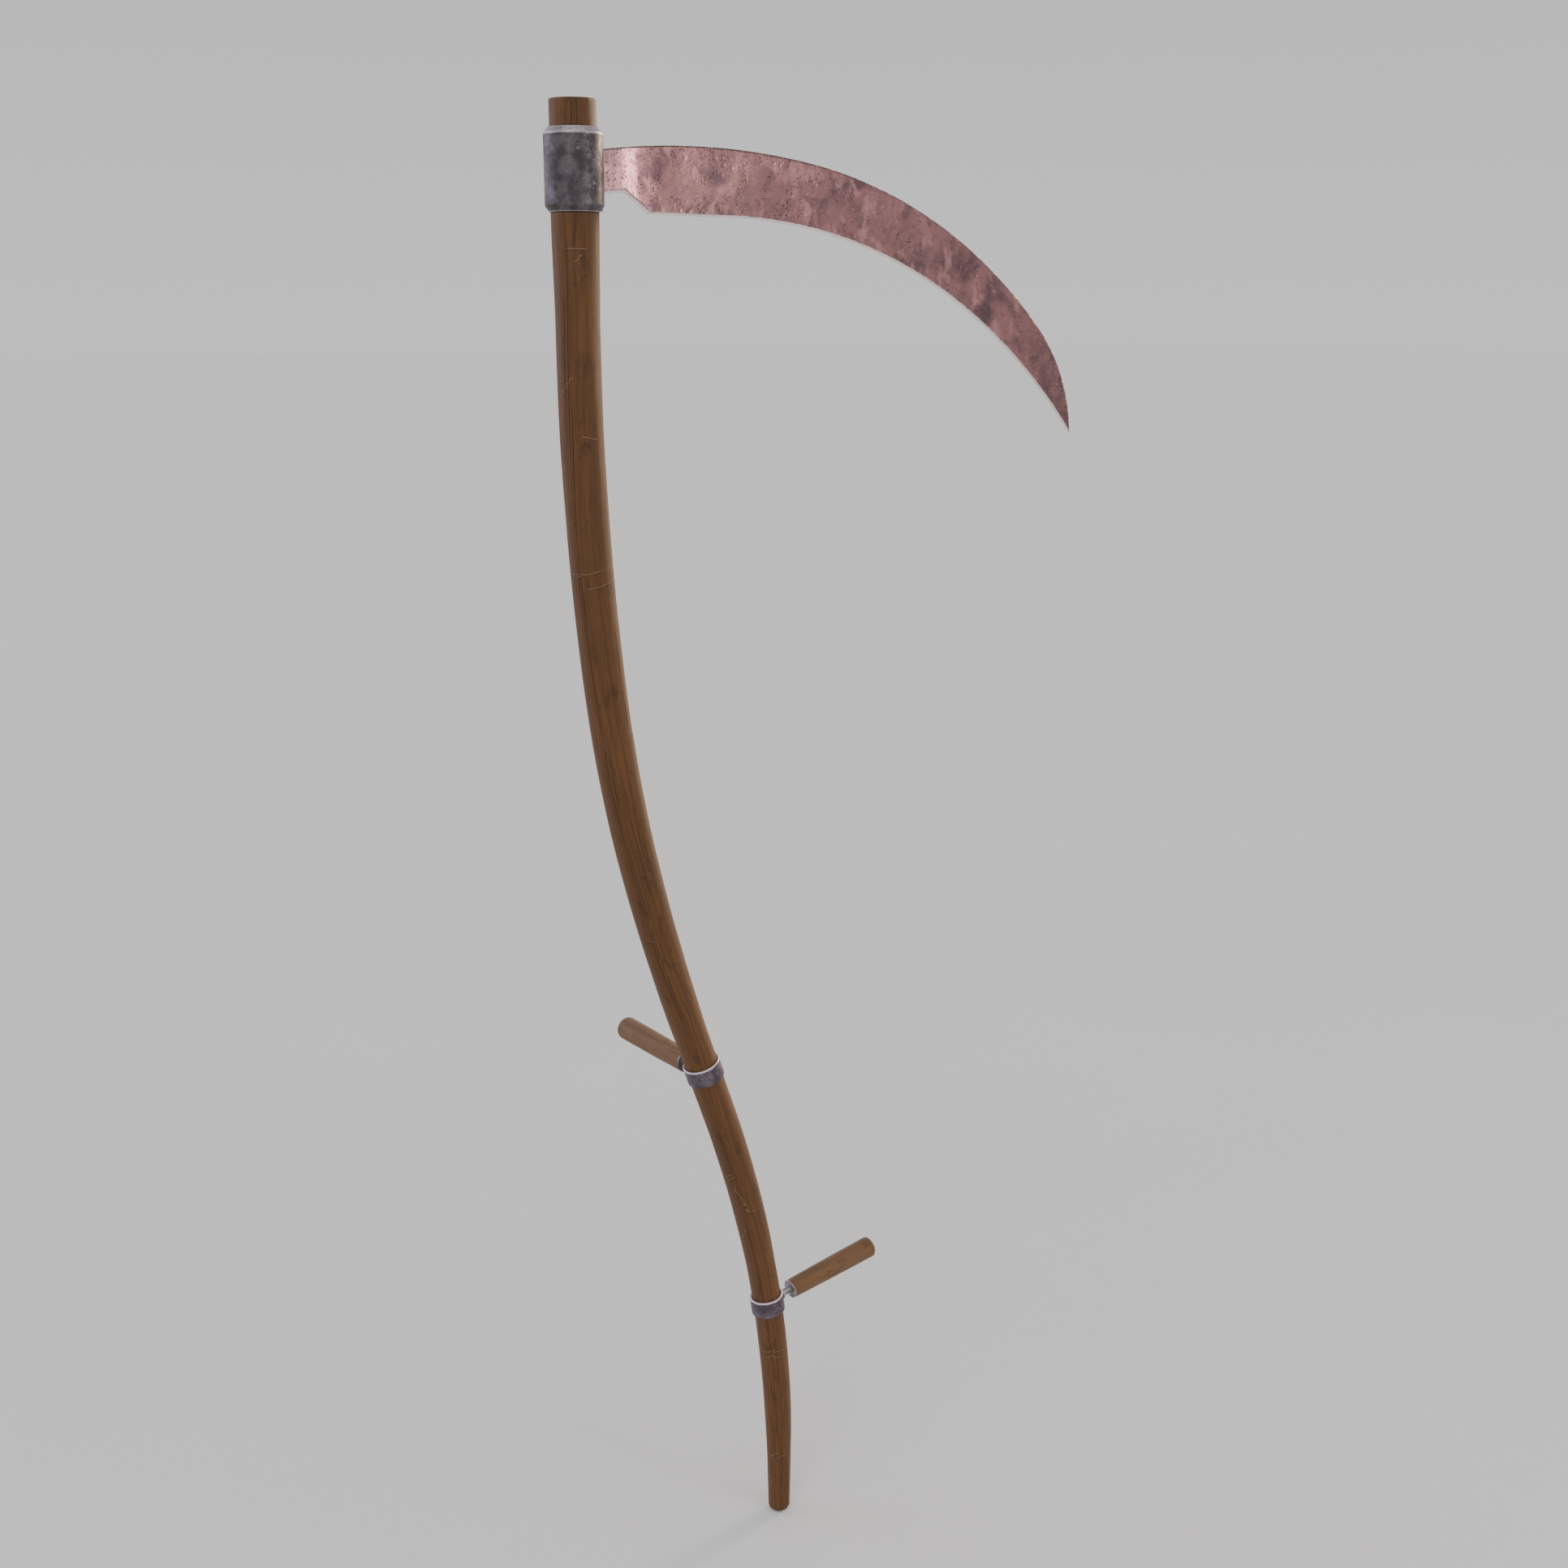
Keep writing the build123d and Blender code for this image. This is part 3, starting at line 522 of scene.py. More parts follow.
# How far above a cut its dark floor of painted shade and its frayed pale lip lie, and how far each one spreads
CUT_FLOOR = (-0.0002, 0.00035)
CUT_LIP = (0.0006, 0.0005)

# Knocks at random, with the least and the most of each measure
KNOCKS = 80
KNOCK_PLACE = (0.03, 1.52)
KNOCK_LENGTH = (0.003, 0.009)
KNOCK_WIDTH = (0.002, 0.0045)
KNOCK_DEPTH = (0.0001, 0.00035)
KNOCK_REACH = 3                   # lengths from its middle to where a knock has died away

GRAIN_WANDER = radians(2.2)       # at random, on top of GRAIN_TURN
LUMPS = (0.00026, 0.00012)        # heights of the broad and the small ones
HELD_EASE = 0.02                  # over which the wood comes back to its true size

# The mesh's columns round the snath and rows along it
PLAIN_COLUMNS = 66
MEAN_RADIUS = 0.020
ROW_STEP = 0.0023
FINE_ROW_STEP = 0.0005
FINE_ROW_MARGIN = 0.0015
BUTT_ROUNDING_ROWS = 9
STUB_ROUNDING_ROWS = 5
BUTT_RINGS = (0.25, 0.6)          # on the butt's flat end, as shares of its radius
TOP_RINGS = np.linspace(0.95, 0.08, 14)  # on the top's


def snath_columns():
    """Angles round the snath, closer together beside each crack."""
    plain = np.linspace(-pi, pi, PLAIN_COLUMNS, endpoint=False)
    cracks = np.radians(CRACK_COLUMNS)
    gap = CRACK_HALF_WIDTH / MEAN_RADIUS
    near = (cracks[:, None] + np.array([-gap, 0, gap])).ravel()
    clear = np.abs(plain[:, None] - cracks).min(1) > CRACK_ROOM * gap
    return np.sort(np.concatenate([plain[clear], near]))


def snath_rows():
    """Distances along the snath's side, closer together at each cut."""
    along = [np.arange(BUTT_ROUNDING + ROW_STEP, SNATH_LENGTH - STUB_ROUNDING, ROW_STEP)]
    for (start, _), (end, _), _ in CUTS:
        low, high = sorted((start * MM, end * MM))
        along.append(np.arange(low - FINE_ROW_MARGIN, high + FINE_ROW_MARGIN, FINE_ROW_STEP))
    steps = np.unique(np.round(np.concatenate(along) / FINE_ROW_STEP).astype(int))
    return np.concatenate([steps * FINE_ROW_STEP, [SHOULDER - SHARP_STEP, SHOULDER]])


def snath_profile():
    """Rows from the butt's middle to the top's: distance along, radius, and the normal out and up."""
    flat = BUTT_RADIUS - BUTT_ROUNDING
    butt = [(0.0, flat * share, 0, -1) for share in BUTT_RINGS]
    butt += [
        (BUTT_ROUNDING * (1 + sin(turn)), flat + BUTT_ROUNDING * cos(turn), cos(turn), sin(turn))
        for turn in np.linspace(-pi / 2, 0, BUTT_ROUNDING_ROWS)
    ]
    along = np.sort(snath_rows())
    places, radii = zip(*[(BUTT_ROUNDING, BUTT_RADIUS), *GIRTH])
    body = [(place, radius, 1, 0) for place, radius in zip(along, np.interp(along, places, radii))]
    edge = STUB_RADIUS - STUB_ROUNDING
    rounding_start = SNATH_LENGTH - STUB_ROUNDING
    top = [
        (rounding_start + STUB_ROUNDING * sin(turn), edge + STUB_ROUNDING * cos(turn), cos(turn), sin(turn))
        for turn in np.linspace(0, pi / 2, STUB_ROUNDING_ROWS)
    ]
    top += [(SNATH_LENGTH, edge * share, 0, 1) for share in TOP_RINGS]
    return np.array(butt + body + top)


def crack_depths(along, columns):
    """Depth of the drying cracks at each row and column."""
    depth = np.zeros((len(along), len(columns)))
    cracks = list(LONG_CRACKS)
    for _ in range(SHORT_CRACKS):
        start = rng.uniform(*SHORT_CRACK_START)
        end = start + rng.uniform(*SHORT_CRACK_LENGTH)
        cracks.append((rng.choice(CRACK_COLUMNS), start, end, rng.uniform(*SHORT_CRACK_DEPTH)))
    for degrees_round, start, end, deep in cracks:
        spot = np.abs(columns - radians(degrees_round)).argmin()
        ends = np.minimum(fade(start, start + CRACK_EASE, along), 1 - fade(end - CRACK_EASE, end, along))
        row = np.stack([0 * along, 0 * along + degrees_round, along], -1)
        rough = np.clip(0.7 + 0.8 * smooth_noise(row, 85, 5), 0.12, 1.2)
        depth[:, spot] = np.maximum(depth[:, spot], deep * ends * rough)
    return depth


def wrapped(angle):
    """The same angle, from -pi to pi."""
    return (angle + pi) % (2 * pi) - pi


def cut_depths(along, angle, radius):
    """Depth of the knife cuts, and the signed distance above the nearest one."""
    depth = np.zeros(along.shape)
    above = np.full(along.shape, 1.0)
    for (start, turn_start), (end, turn_end), deep in CUTS:
        low, high = sorted((start * MM, end * MM))
        rows = np.flatnonzero((along[:, 0] > low - CUT_MARGIN) & (along[:, 0] < high + CUT_MARGIN))
        middle = radians((turn_start + turn_end) / 2)
        across = wrapped(angle[rows] - middle) * radius[rows]
        half = radians(turn_end - turn_start) / 2 * radius[rows]
        up = along[rows] - (start + end) / 2 * MM
        rise = np.full(half.shape, (end - start) / 2 * MM)
        share = np.clip((across * half + up * rise) / (half ** 2 + rise ** 2), -1, 1)
        away = np.hypot(across - share * half, up - share * rise)
        groove = deep * MM * np.exp(-(away / CUT_WIDTH) ** 2) * (1 - 0.6 * np.abs(share) ** 3)
        depth[rows] = np.maximum(depth[rows], groove)
        signed = np.where(up > share * rise, away, -away)
        above[rows] = np.where(away < np.abs(above[rows]), signed, above[rows])
    return depth, above


def knock_depths(along, angle, radius):
    """Depth of the shallow knocks scattered over the wood."""
    depth = np.zeros(along.shape)
    for _ in range(KNOCKS):
        place, turn = rng.uniform(*KNOCK_PLACE), rng.uniform(-pi, pi)
        long, wide = rng.uniform(*KNOCK_LENGTH), rng.uniform(*KNOCK_WIDTH)
        deep = rng.uniform(*KNOCK_DEPTH)
        rows = np.flatnonzero(np.abs(along[:, 0] - place) < KNOCK_REACH * long)
        across = wrapped(angle[rows] - turn) * radius[rows]
        up = along[rows] - place
        depth[rows] += deep * np.exp(-(up / long) ** 2 - (across / wide) ** 2)
    return depth


def held_true(along):
    """1 where the wood must not swell past its true size: the rings' travel and the head's seat."""
    held = fade(SHOULDER - HELD_EASE, SHOULDER, along)
    for start, end in (LOWER_SEAT, (MIDDLE_START, MIDDLE_END)):
        held = held + fade(start - HELD_EASE, start, along) * (1 - fade(end, end + HELD_EASE, along))
    return np.clip(held, 0, 1)


def make_snath(material):
    """The shaft, with wandering grain, lumps, drying cracks, knife cuts and knocks."""
    columns = snath_columns()
    profile = snath_profile()
    along, radius, out, up = (profile[:, k][:, None] * np.ones(len(columns)) for k in range(4))
    angle = np.ones((len(profile), 1)) * columns
    straight = np.stack([radius * np.cos(angle), radius * np.sin(angle), along], -1)
    flat = straight.reshape(-1, 3)

    places, turns = zip(*GRAIN_TURN)
    wander = GRAIN_WANDER * smooth_noise(flat * (40, 40, 14), 1.0, 3).reshape(along.shape)
    turned = angle + np.radians(np.interp(along, places, turns)) + wander

    squeezed = flat * (1, 1, 0.25)
    broad, small = LUMPS
    lumps = broad * smooth_noise(squeezed, 45, 1) + small * smooth_noise(squeezed, 130, 2)
    lumps = lumps.reshape(along.shape)
    crack = crack_depths(profile[:, 0], columns) * fade(*CRACKED_RADIUS, radius)
    cut, above = cut_depths(along, turned, radius)
    knocks = knock_depths(along, angle, radius)
    raised = np.where(lumps > 0, lumps * (1 - held_true(along)), lumps)
    on_end = fade(0.9, 1.0, np.abs(up))
    shift = raised * (1 - on_end) - crack - cut - knocks

    x, z, lean = (value[:, None] for value in centreline(profile[:, 0]))
    reach = radius + shift * out
    rise = shift * up
    points = np.stack([
        x + reach * np.cos(turned) * np.cos(lean) - rise * np.sin(lean),
        reach * np.sin(turned),
        z + reach * np.cos(turned) * np.sin(lean) + rise * np.cos(lean),
    ], -1).reshape(-1, 3)

    piece = make_piece("snath_wood", points, tube_faces(*along.shape))
    store(piece, "straight", flat)
    # The crack attribute is painted shade: darker with a crack's depth, and along the floor under each cut.
    cut_floor, cut_lip = (
        np.exp(-((above - place) / spread) ** 2) for place, spread in (CUT_FLOOR, CUT_LIP)
    )
    store(piece, "crack", np.clip(crack / DARK_CRACK + 0.8 * cut_floor, 0, 1).ravel())
    store(piece, "cut", cut_lip.ravel())
    settle_piece(piece, "snath", "snath", material)


# ---- blade ----

NECK_SECTIONS = 26                # and as many again down the heel's slope
BLADE_SECTIONS = 640
SECTION_CROWDING = 0.93           # below 1, sections stand closer together towards the tip
FLAT_POINTS = 54                  # across each flat between the bevels
SPINE_POINTS = 200                # on each arc of the back
EDGE_POINTS = (60, 150, 250)      # on the edge's straight, its arc and its last stretch to the tip
BEVEL_LIMITS = (0.2, 0.35)        # the most of a section that the back's and the edge's bevel take
FULL_WIDTH = 0.012                # a narrower section is thinner too
BACK_SHARE = 0.7                  # the most of the flat's thickness that is left at the back
BEVEL_SHARE = 0.9                 # of the flat's thickness, where the edge's bevel begins
FLAT_TAPER = 0.1                  # how much of the thickness a flat loses from back to edge
RELIEF_EASE = 0.004               # over which hammer marks and pits fade in from the rims
RELIEF_TOP = 0.0001               # how far a hammer mark may stand proud
HAMMER_MARKS = (0.00012, 0.00002)  # heights of the broad and the small ones
PIT_DEPTH = 0.0002
RAGGED_EDGE = 0.00035
NOTCH_DEPTH = 0.0005
NICK_POWER = 12                   # so high that only the edge's last millimetres follow its nicks
JOGGLE = 0.0009                   # how far the blade is bent forward past its neck
JOGGLE_BENDS = (-0.003, 0.017), (0.020, 0.075)  # there and back, past the neck's step
NECK_SHADE = (-0.003, 0.004)      # where the neck's painted shade ends, past its step
CREASE = radians(25)


def arc_points(start, heading, radius, turn, count):
    """Points along an arc that bends downwards, and the heading at its end."""
    angles = heading - turn * np.linspace(0, 1, count)
    x = start[0] + radius * (sin(heading) - np.sin(angles))
    z = start[1] + radius * (np.cos(angles) - cos(heading))
    return np.stack([x, z], -1), heading - turn


def even(points, shares):
    """Points at the given shares of a line's length."""
    steps = np.concatenate([[0], np.cumsum(np.linalg.norm(np.diff(points, axis=0), axis=1))])
    steps /= steps[-1]
    return np.stack([np.interp(shares, steps, points[:, k]) for k in (0, 1)], -1)


def spine_curve():
    """The back of the blade, from above the heel to the tip."""
    pieces = []
    start, heading = np.array([HEEL[0], HEEL_TOP]), SPINE_RISE
    for radius, turn in SPINE_ARCS:
        points, heading = arc_points(start, heading, radius, turn, SPINE_POINTS)
        pieces.append(points)
        start = points[-1]
    return np.concatenate(pieces)


def edge_curve(tip):
    """The cutting edge, from the heel to the tip."""
    heel = np.array(HEEL)
    bend_start = heel + EDGE_STRAIGHT * np.array([cos(EDGE_FALL), -sin(EDGE_FALL)])
    straight_count, bend_count, last_count = EDGE_POINTS
    level = np.linspace(heel, bend_start, straight_count)
    bend, heading = arc_points(level[-1], -EDGE_FALL, *EDGE_ARC, bend_count)
    chord = tip - bend[-1]
    half_turn = heading - np.arctan2(chord[1], chord[0])
    radius = np.linalg.norm(chord) / (2 * sin(half_turn))
    last, _ = arc_points(bend[-1], heading, radius, 2 * half_turn, last_count)
    return np.concatenate([level, bend, last])


def blade_outline():
    """Back and edge points of each section, from inside the collar to the tip, and the edge's slope."""
    reach = np.concatenate([
        np.linspace(NECK_START, NECK_STEP[0], NECK_SECTIONS)[:-1],
        np.linspace(NECK_STEP[0], HEEL[0], NECK_SECTIONS)[:-1],
    ])
    radius = SPINE_ARCS[0][0]
    turned = np.arcsin(sin(SPINE_RISE) + (HEEL[0] - reach) / radius)
    neck_back = np.stack([reach, HEEL_TOP + radius * (np.cos(turned) - cos(SPINE_RISE))], -1)
    corners = np.array([NECK_BOTTOM, NECK_STEP, HEEL])
    neck_edge = np.stack([reach, np.interp(reach, corners[:, 0], corners[:, 1])], -1)
    neck_slope = np.where(reach < NECK_STEP[0], 1.0, HEEL_SLOPE)
    shares = TIP_STOP * np.linspace(0, 1, BLADE_SECTIONS) ** SECTION_CROWDING
    spine = spine_curve()
    back = np.concatenate([neck_back, even(spine, shares)])
    edge = np.concatenate([neck_edge, even(edge_curve(spine[-1]), shares)])
    return back, edge, np.concatenate([neck_slope, np.ones(len(shares))])


def section_distances(width, back_bevel, edge_bevel):
    """How far each of a section's points lies from the blade's back."""
    flat_width = width - back_bevel - edge_bevel
    return np.concatenate([
        back_bevel * np.array([0.0, 0.5]),
        back_bevel + flat_width * np.linspace(0, 1, FLAT_POINTS),
        (width - edge_bevel) + edge_bevel * np.array([0.25, 0.5, 0.75, 1.0]),
    ], axis=1)


def half_thickness(distance, width, taper, back_bevel, edge_bevel):
    """Half the blade's thickness at each point: a flat that falls away at the two bevels."""
    thin = np.minimum(1.0, width / FULL_WIDTH)
    half = (BLADE_HALF + (TIP_HALF - BLADE_HALF) * taper) * thin
    back_half = np.minimum(BACK_HALF, BACK_SHARE * half)
    edge_half = EDGE_HALF * thin
    flat = half * (1 - FLAT_TAPER * (distance / width))
    at_back = back_half + (half - back_half) * distance / back_bevel
    at_edge = edge_half + (BEVEL_SHARE * half - edge_half) * (width - distance) / edge_bevel
    return np.minimum(np.minimum(flat, at_back), at_edge)


def edge_nicks(length):
    """How far the cutting edge is worn in at each section."""
    line = np.stack([length, 0 * length, 0 * length], -1)
    ragged = RAGGED_EDGE * smooth_noise(line, 160, 4)
    notches = NOTCH_DEPTH * fade(0.45, 0.9, smooth_noise(line, 90, 8))
    return np.abs(ragged) + notches


def hammered(plane, inner, side):
    """Hammer marks and pits on one side of the blade, as heights."""
    layer = np.full(inner.shape, 0.3 * side)
    spots = np.stack([plane[..., 0], plane[..., 1], layer], -1).reshape(-1, 3)
    broad, small = HAMMER_MARKS
    hammer = broad * smooth_noise(spots, 34, 21) + small * smooth_noise(spots, 150, 22)
    clusters = fade(0.0, 0.4, smooth_noise(spots, 42, 24))
    pits = PIT_DEPTH * fade(0.5, 0.85, smooth_noise(spots, 420, 23)) * clusters
    return np.minimum((hammer - pits) * inner.ravel(), RELIEF_TOP).reshape(inner.shape)


def both_sides(front, rear):
    """The front's points or values, then the rear's, in order round each section."""
    joined = np.concatenate([front, rear[:, ::-1]], axis=1)
    return joined.reshape(-1, *front.shape[2:])


def make_blade(material):
    """The neck, heel and long curved blade, as one closed tube of sections."""
    back, edge, slope = blade_outline()
    across = edge - back
    width = np.linalg.norm(across, axis=1)[:, None]
    steps = np.linalg.norm(np.diff((back + edge) / 2, axis=0), axis=1)
    length = np.concatenate([[0], np.cumsum(steps)])
    taper = (length / length[-1])[:, None]
    back_bevel = np.minimum(BACK_BEVEL, BEVEL_LIMITS[0] * width)
    edge_bevel = np.minimum(EDGE_BEVEL * slope[:, None], BEVEL_LIMITS[1] * width)
    distance = section_distances(width, back_bevel, edge_bevel)
    from_edge = width - distance
    thick = half_thickness(distance, width, taper, back_bevel, edge_bevel)

    share = (distance / width)[..., None]
    inward = edge_nicks(length)[:, None, None] * (across / width)[:, None] * share ** NICK_POWER
    plane = back[:, None] + across[:, None] * share - inward
    along = plane[..., 0] - NECK_STEP[0]
    there, back_again = JOGGLE_BENDS
    joggle = -JOGGLE * fade(*there, along) * (1 - fade(*back_again, along))
    inner = fade(0.0, RELIEF_EASE, np.minimum(distance, from_edge))
    front, rear = (
        np.stack([
            plane[..., 0] + TOP_X,
            side * (thick + hammered(plane, inner, side)) + joggle,
            plane[..., 1],
        ], -1)
        for side in (-1, 1)
    )

    rows, count = len(back), 2 * distance.shape[1]
    faces = [face[::-1] for face in tube_faces(rows, count)]
    piece = make_piece("blade_steel", both_sides(front, rear), faces)
    from_edge_level = from_edge / slope[:, None]
    neck = 1 - fade(*NECK_SHADE, along)
    store(piece, "edge_distance", both_sides(from_edge_level, from_edge_level))
    store(piece, "back_distance", both_sides(distance, distance))
    store(piece, "neck", both_sides(neck, neck))
    store(piece, "reach", np.repeat(taper, count))
    layers = (np.concatenate([plane, np.full((*thick.shape, 1), z)], axis=2) for z in (0.0, 0.4))
    store(piece, "flat", both_sides(*layers))
    mark_sharp_bevels(piece, CREASE)
    settle_piece(piece, "blade", "head", material)


def mark_sharp_bevels(piece, angle):
    """Keep the creases between flats and bevels crisp."""
    mesh = bmesh.new()
    mesh.from_mesh(piece.data)
    for edge in mesh.edges:
        edge.smooth = len(edge.link_faces) != 2 or edge.calc_face_angle(0) < angle
    mesh.to_mesh(piece.data)
    mesh.free()


# ---- worn copies of CAD nodes ----

# Voxel size, rounds of smoothing and depth of the dents; for iron, also the bulge that wears bare
COLLAR_FORM = (0.0007, 2, 0.00024, 0.0002)
RING_FORM = (0.00045, 2, 0.00012, 0.00011)
STEM_FORM = (0.00045, 1, 0.00006, 0.0001)
SCREW_FORM = (0.0005, 1, 0.0001, 0.00012)
GRIP_FORM = (0.0009, 1, 0.00018)

WELD_DISTANCE = 1e-6
BLUR_STEPS = 8
MOST_WEAR = 1.5                   # above 1, so that the iron's noise can't dull the proudest edges
COLLAR_TOP_HIGHLIGHT = (0.0045, 0.0062)  # down from the top, over which the top chamfer's painted highlight ends
COLLAR_FOOT_RIM = (0.0006, 0.0016)  # up from the foot
COLLAR_EDGE_RISE = (0.02, 0.07)   # up from the foot, over which the edges brighten more and more
RING_HEIGHT = 0.0225
SHANK_REACH = 0.0053              # the set screws' shank, and not their head, lies within this
SHANK_SHARE = 0.05
GRIP_GRAIN_STEP = 0.3             # along the grain from one seed to the next


def read_field(items, field, width, kind=float):
    """A field of a mesh's vertices or edges, one row for each."""
    values = np.zeros(len(items) * width, kind)
    items.foreach_get(field, values)
    return values.reshape(-1, width)


def place_points(mesh, points):
    """Move a mesh's vertices."""
    mesh.vertices.foreach_set("co", points.ravel())
    mesh.update()


def neighbour_mean(points, edges):
    """The mean of each point's neighbours."""
    total = np.zeros_like(points)
    count = np.zeros(len(points))
    for first, second in ((0, 1), (1, 0)):
        np.add.at(total, edges[:, first], points[edges[:, second]])
        np.add.at(count, edges[:, first], 1)
    return total / count[:, None]


def remeshed(node, voxel):
    """A copy of a CAD node, made of small even quads."""
    piece = bpy.data.objects.new(node + "_worn", frame["nodes"][node].data.copy())
    bpy.context.scene.collection.objects.link(piece)
    weld = bmesh.new()
    weld.from_mesh(piece.data)
    bmesh.ops.remove_doubles(weld, verts=weld.verts, dist=WELD_DISTANCE)
    weld.to_mesh(piece.data)
    weld.free()
    remesh = piece.modifiers.new("remesh", "REMESH")
    remesh.mode = "VOXEL"
    remesh.voxel_size = voxel
    graph = bpy.context.evaluated_depsgraph_get()
    mesh = bpy.data.meshes.new_from_object(piece.evaluated_get(graph))
    piece.modifiers.clear()
    piece.data = mesh
    mesh.name = piece.name
    mesh.materials.clear()
    mesh.polygons.foreach_set("use_smooth", [True] * len(mesh.polygons))
    return piece


def worn_copy(node, voxel, rounding, dent, seed):
    """A remeshed copy of a CAD node with rubbed edges and small dents, and each point's bulge."""
    piece = remeshed(node, voxel)
    mesh = piece.data
    points = read_field(mesh.vertices, "co", 3)
    edges = read_field(mesh.edges, "vertices", 2, int)
    for _ in range(rounding):
        points = 0.5 * points + 0.5 * neighbour_mean(points, edges)
    place_points(mesh, points)
    normals = read_field(mesh.vertices, "normal", 3)
    blurred = points
    for _ in range(BLUR_STEPS):
        blurred = neighbour_mean(blurred, edges)
    bulge = ((points - blurred) * normals).sum(1)
    hollows = smooth_noise(points, 75, seed) * 0.7 + smooth_noise(points, 190, seed + 1) * 0.3
    knocks = fade(0.35, 0.8, smooth_noise(points, 110, seed + 2))
    points = points + normals * (dent * (0.35 * np.minimum(hollows, 0) - knocks))[:, None]
    place_points(mesh, points)
    return piece, points, bulge


def joint_axis(name):
    """A joint's point and unit axis, as numpy arrays."""
    joint = next(j for j in frame["joints"] if j["name"] == name)
    return np.array(joint["pos_m"], float), np.array(joint["axis"], float)


def slim_shank(piece, points, joint):
    """Draw a screw's shank in a little, so that it turns freely in its rough bore."""
    point, axis = joint_axis(joint)
    away = points - point
    radial = away - np.outer(away @ axis, axis)
    shank = np.linalg.norm(radial, axis=1) < SHANK_REACH
    place_points(piece.data, points - SHANK_SHARE * radial * shank[:, None])


def worn_iron(node, body, slot, paints, form, seed, weigh=None):
    """A rubbed and dented copy of an iron node. weigh(points) gives the share of the edges' bright metal to keep,
    and more to add; on the collar and rings this adds painted highlight.
    """
    voxel, rounding, dent, bare = form
    piece, points, bulge = worn_copy(node, voxel, rounding, dent, seed)
    wear_and_highlight = np.clip(bulge / bare, 0, MOST_WEAR)
    # weigh adds the painted highlight on the collar's top chamfer and keeps the rings' bright edges mostly to
    # their upper rims.
    if weigh is not None:
        share, more = weigh(points)
        wear_and_highlight = wear_and_highlight * share + more
    store(piece, "wear_and_highlight", wear_and_highlight)
    settle_piece(piece, node, body, paints[slot])
    return piece, points


def collar_wear_and_highlight(points):
    """Bright edges that grow upwards, a painted highlight on the top chamfer, and a bright line at the very foot.
    """
    height = points[:, 2] - COLLAR_BOTTOM
    from_top = COLLAR_TOP - points[:, 2]
    # Painted highlight on the top chamfer, which faces the light from above.
    top = 1 - fade(*COLLAR_TOP_HIGHLIGHT, from_top)
    foot = 1 - fade(*COLLAR_FOOT_RIM, height)
    return 0.25 + 0.75 * fade(*COLLAR_EDGE_RISE, height), 0.5 * top + 0.45 * foot


def ring_wear_and_highlight(name):
    """A nib ring's bright edges: kept full along its upper rim as a painted highlight, and only a little lower
    down.
    """
    point, axis = joint_axis(f"{name}_nib_swivel")

    def weigh(points):
        height = (points - point) @ axis
        # Painted highlight: the upper rim keeps all its bright edge, lower down only a little.
        return 0.12 + 0.88 * fade(-0.1 * RING_HEIGHT, 0.3 * RING_HEIGHT, height), 0

    return weigh


def make_iron(paints):
    """The collar, and the ring, stem and set screw called upper or lower."""
    worn_iron("blade_collar", "head", "collar_iron", paints, COLLAR_FORM, 31, collar_wear_and_highlight)
    for name, seed in (("upper", 41), ("lower", 47)):
        ring, stem, screw = f"{name}_ring", f"{name}_stem", f"{name}_screw"
        worn_iron(f"{name}_nib_ring", ring, "ring_iron", paints, RING_FORM, seed, ring_wear_and_highlight(name))
        worn_iron(f"{name}_nib_stem", stem, "hardware_steel", paints, STEM_FORM, seed + 3)
        piece, points = worn_iron(f"{name}_set_screw", screw, "hardware_steel", paints, SCREW_FORM, seed + 5)
        slim_shank(piece, points, f"{screw}_turn")


def make_grips(material):
    """The two wooden grips, with the grain along each."""
    for name, seed in (("upper", 61), ("lower", 67)):
        node = f"{name}_nib_grip"
        piece, points, _ = worn_copy(node, *GRIP_FORM, seed)
        point, axis = joint_axis(f"{name}_grip_spin")
        side = np.cross(axis, (0, 0, 1.0))
        side /= np.linalg.norm(side)
        third = np.cross(axis, side)
        away = points - point
        grain = away @ axis + GRIP_GRAIN_STEP * seed
        store(piece, "straight", np.stack([away @ side, away @ third, grain], -1))
        store(piece, "crack", np.zeros(len(points)))
        store(piece, "cut", np.zeros(len(points)))
        settle_piece(piece, node, f"{name}_grip", material)


def paint_nodes(paints):
    """The CAD nodes that keep their own shape get their materials."""
    slots = {part["node"]: part["material_slot"] for part in frame["record"]["subparts"]}
    for name, node in frame["nodes"].items():
        if not node.hide_render:
            for place in node.material_slots:
                place.material = paints[slots[name]]


# ---- studio ----

def add_lamp(name, kind, direction, energy, color):
    """A light that comes from the given direction."""
    light = bpy.data.lights.new(name, kind)
    light.energy = energy
    light.color = color
    lamp = bpy.data.objects.new(name, light)
    lamp.rotation_euler = Vector(direction).to_track_quat("Z", "Y").to_euler()
    bpy.context.scene.collection.objects.link(lamp)
    return lamp


def area_light(name, place, target, size, power, color):
    """A square lamp of the given size, in metres, and power, in watts."""
    lamp = add_lamp(name, "AREA", np.subtract(place, target), power, color)
    lamp.data.size = size
    lamp.location = place


def sun_light(name, direction, spread, strength, color):
    """Even light from one side, as soft as its spread in degrees."""
    lamp = add_lamp(name, "SUN", direction, strength, color)
    lamp.data.angle = radians(spread)


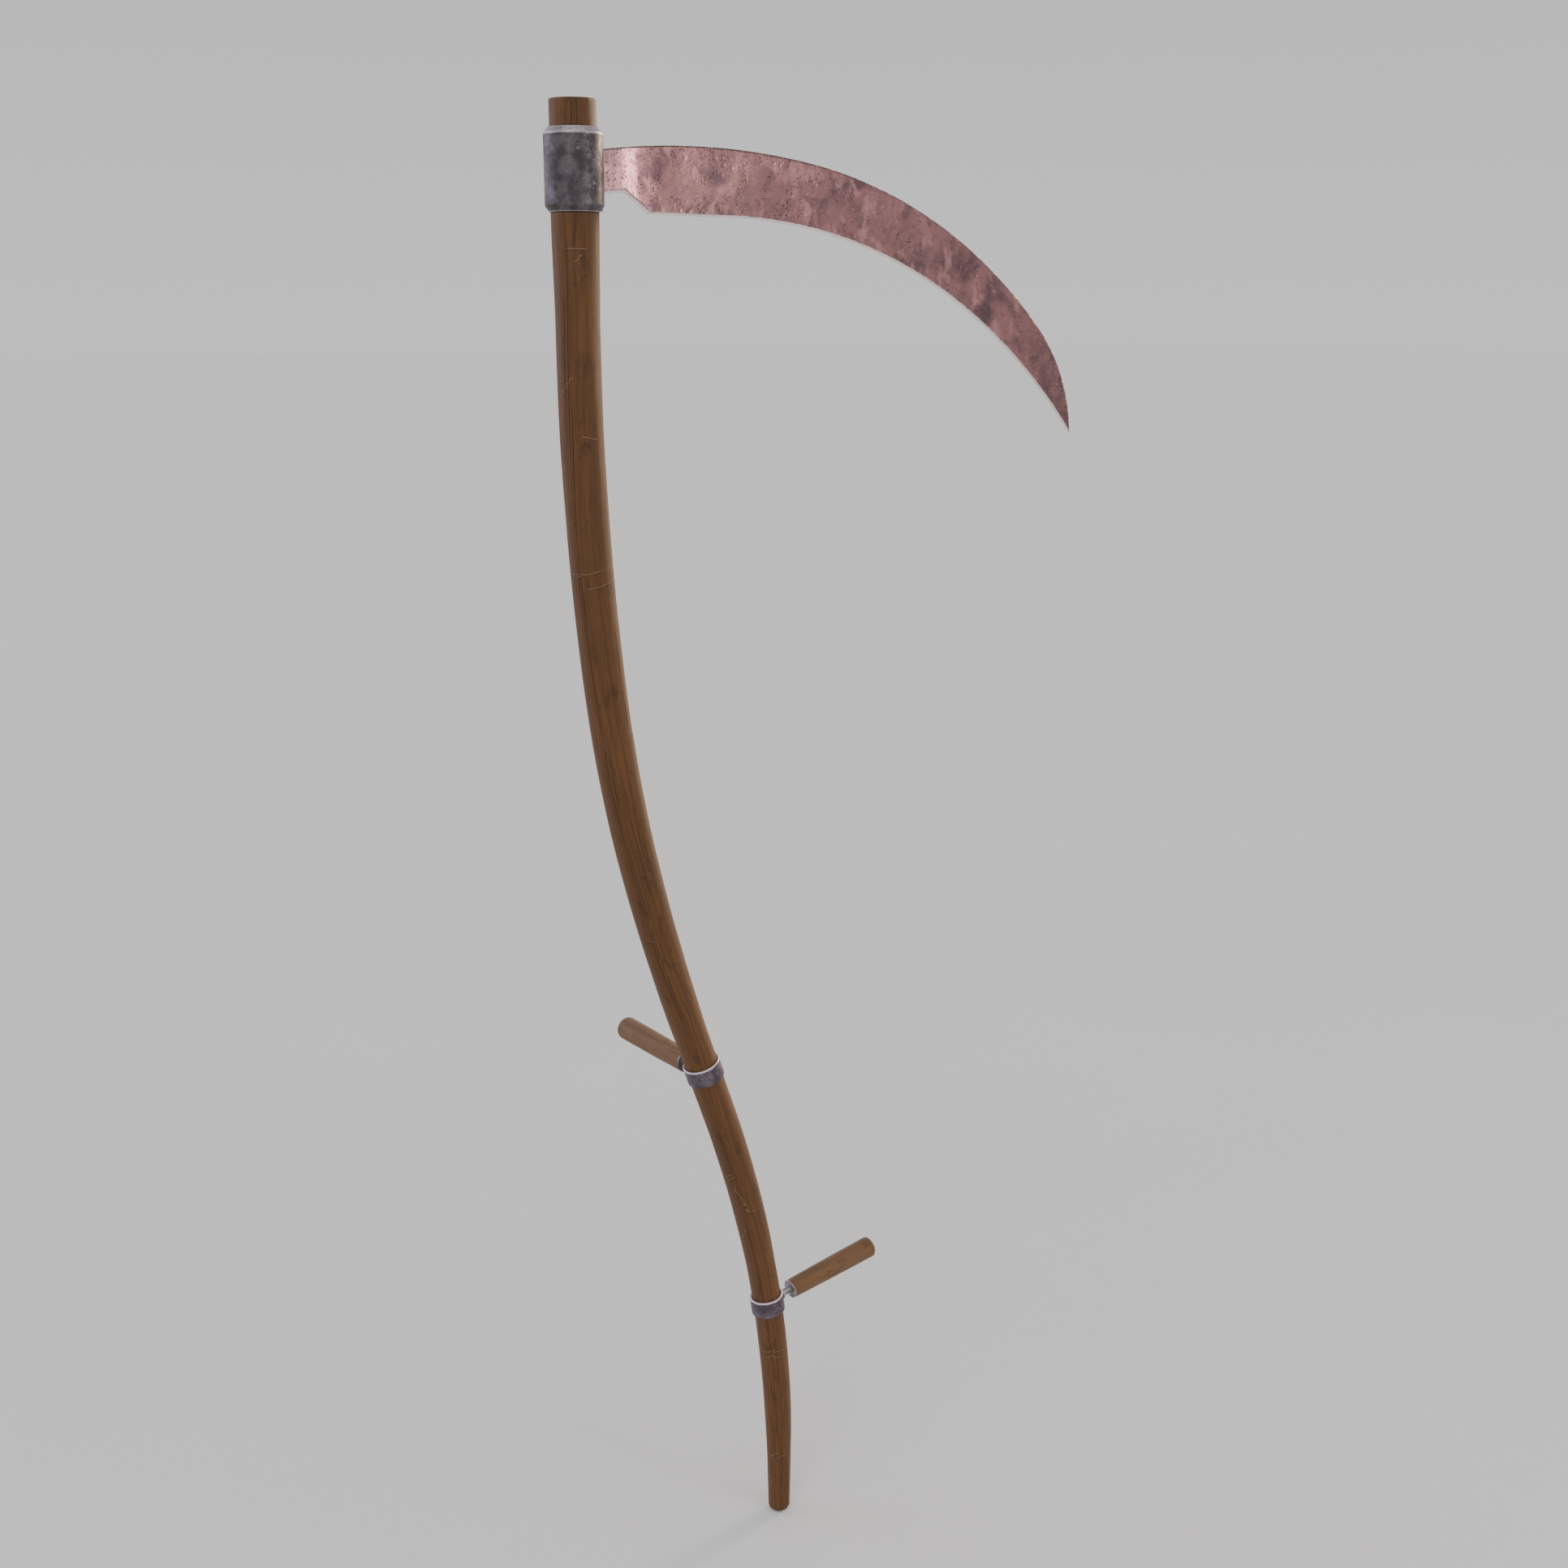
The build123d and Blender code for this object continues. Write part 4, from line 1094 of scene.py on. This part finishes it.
def make_world():
    """An even pale surround, a little dimmer overhead."""
    world = bpy.data.worlds.new("studio")
    world.use_nodes = True
    tree = world.node_tree
    background = tree.nodes["Background"]
    background.inputs["Color"].default_value = SURROUND_COLOR
    place = tree.nodes.new("ShaderNodeTexCoord")
    parts = tree.nodes.new("ShaderNodeSeparateXYZ")
    tree.links.new(place.outputs["Generated"], parts.inputs[0])
    strength = tree.nodes.new("ShaderNodeMapRange")
    settings = {"From Min": 0.0, "From Max": ZENITH_RISE, "To Min": HORIZON, "To Max": ZENITH}
    for socket, value in settings.items():
        strength.inputs[socket].default_value = value
    tree.links.new(parts.outputs["Z"], strength.inputs["Value"])
    tree.links.new(strength.outputs["Result"], background.inputs["Strength"])
    bpy.context.scene.world = world


def make_studio():
    """The floor, the surround and the soft lights."""
    corners = [(FLOOR_HALF * x, FLOOR_HALF * y, 0) for x, y in ((-1, -1), (1, -1), (1, 1), (-1, 1))]
    floor = make_piece("studio_floor", corners, [[0, 1, 2, 3]], smooth=False)
    floor.data.materials.append(floor_paint())
    make_world()
    sun_light("overhead", (-0.2, -0.5, 1.0), 60, 0.7, (1.0, 1.0, 1.0))
    sun_light("side", (-3.0, -2.4, 2.2), 25, 0.7, (1.0, 0.95, 0.92))
    sun_light("cool", (-1.9, 2.3, 0.6), 50, 1.3, (0.82, 0.75, 1.0))
    sun_light("warm", (2.9, 0.4, 0.6), 20, 2.8, (1.0, 0.80, 0.58))
    sun_light("back", (1.6, 2.6, 1.2), 50, 0.5, (1.0, 0.95, 0.9))
    area_light("key", (1.0, -2.75, 1.8), (-0.05, 0, 1.1), 0.4, 10, (1.0, 0.88, 0.87))


def make_camera():
    """The main view, from the front and left, looking down a little."""
    data = bpy.data.cameras.new("camera")
    data.lens = CAMERA_LENS
    camera = bpy.data.objects.new("camera", data)
    camera.location = CAMERA_PLACE
    camera.rotation_euler = (pi / 2 + CAMERA_PITCH, 0, CAMERA_TURN)
    bpy.context.scene.collection.objects.link(camera)
    bpy.context.scene.camera = camera


def main():
    make_camera()
    make_studio()
    paints = {
        "snath_wood": wood_paint("snath_wood", *SNATH_COLORS),
        "grip_wood": wood_paint("grip_wood", *GRIP_COLORS, GRIP_CONTRAST),
        "blade_steel": blade_paint(),
        "collar_iron": iron_paint("collar_iron", *COLLAR_COLORS, 0.85),
        "ring_iron": iron_paint("ring_iron", *RING_COLORS, 1.0),
        "hardware_steel": iron_paint("hardware_steel", *HARDWARE_COLORS, 0.9),
        "packing_leather": leather_paint(),
    }
    make_snath(paints["snath_wood"])
    make_blade(paints["blade_steel"])
    make_iron(paints)
    make_grips(paints["grip_wood"])
    paint_nodes(paints)


main()
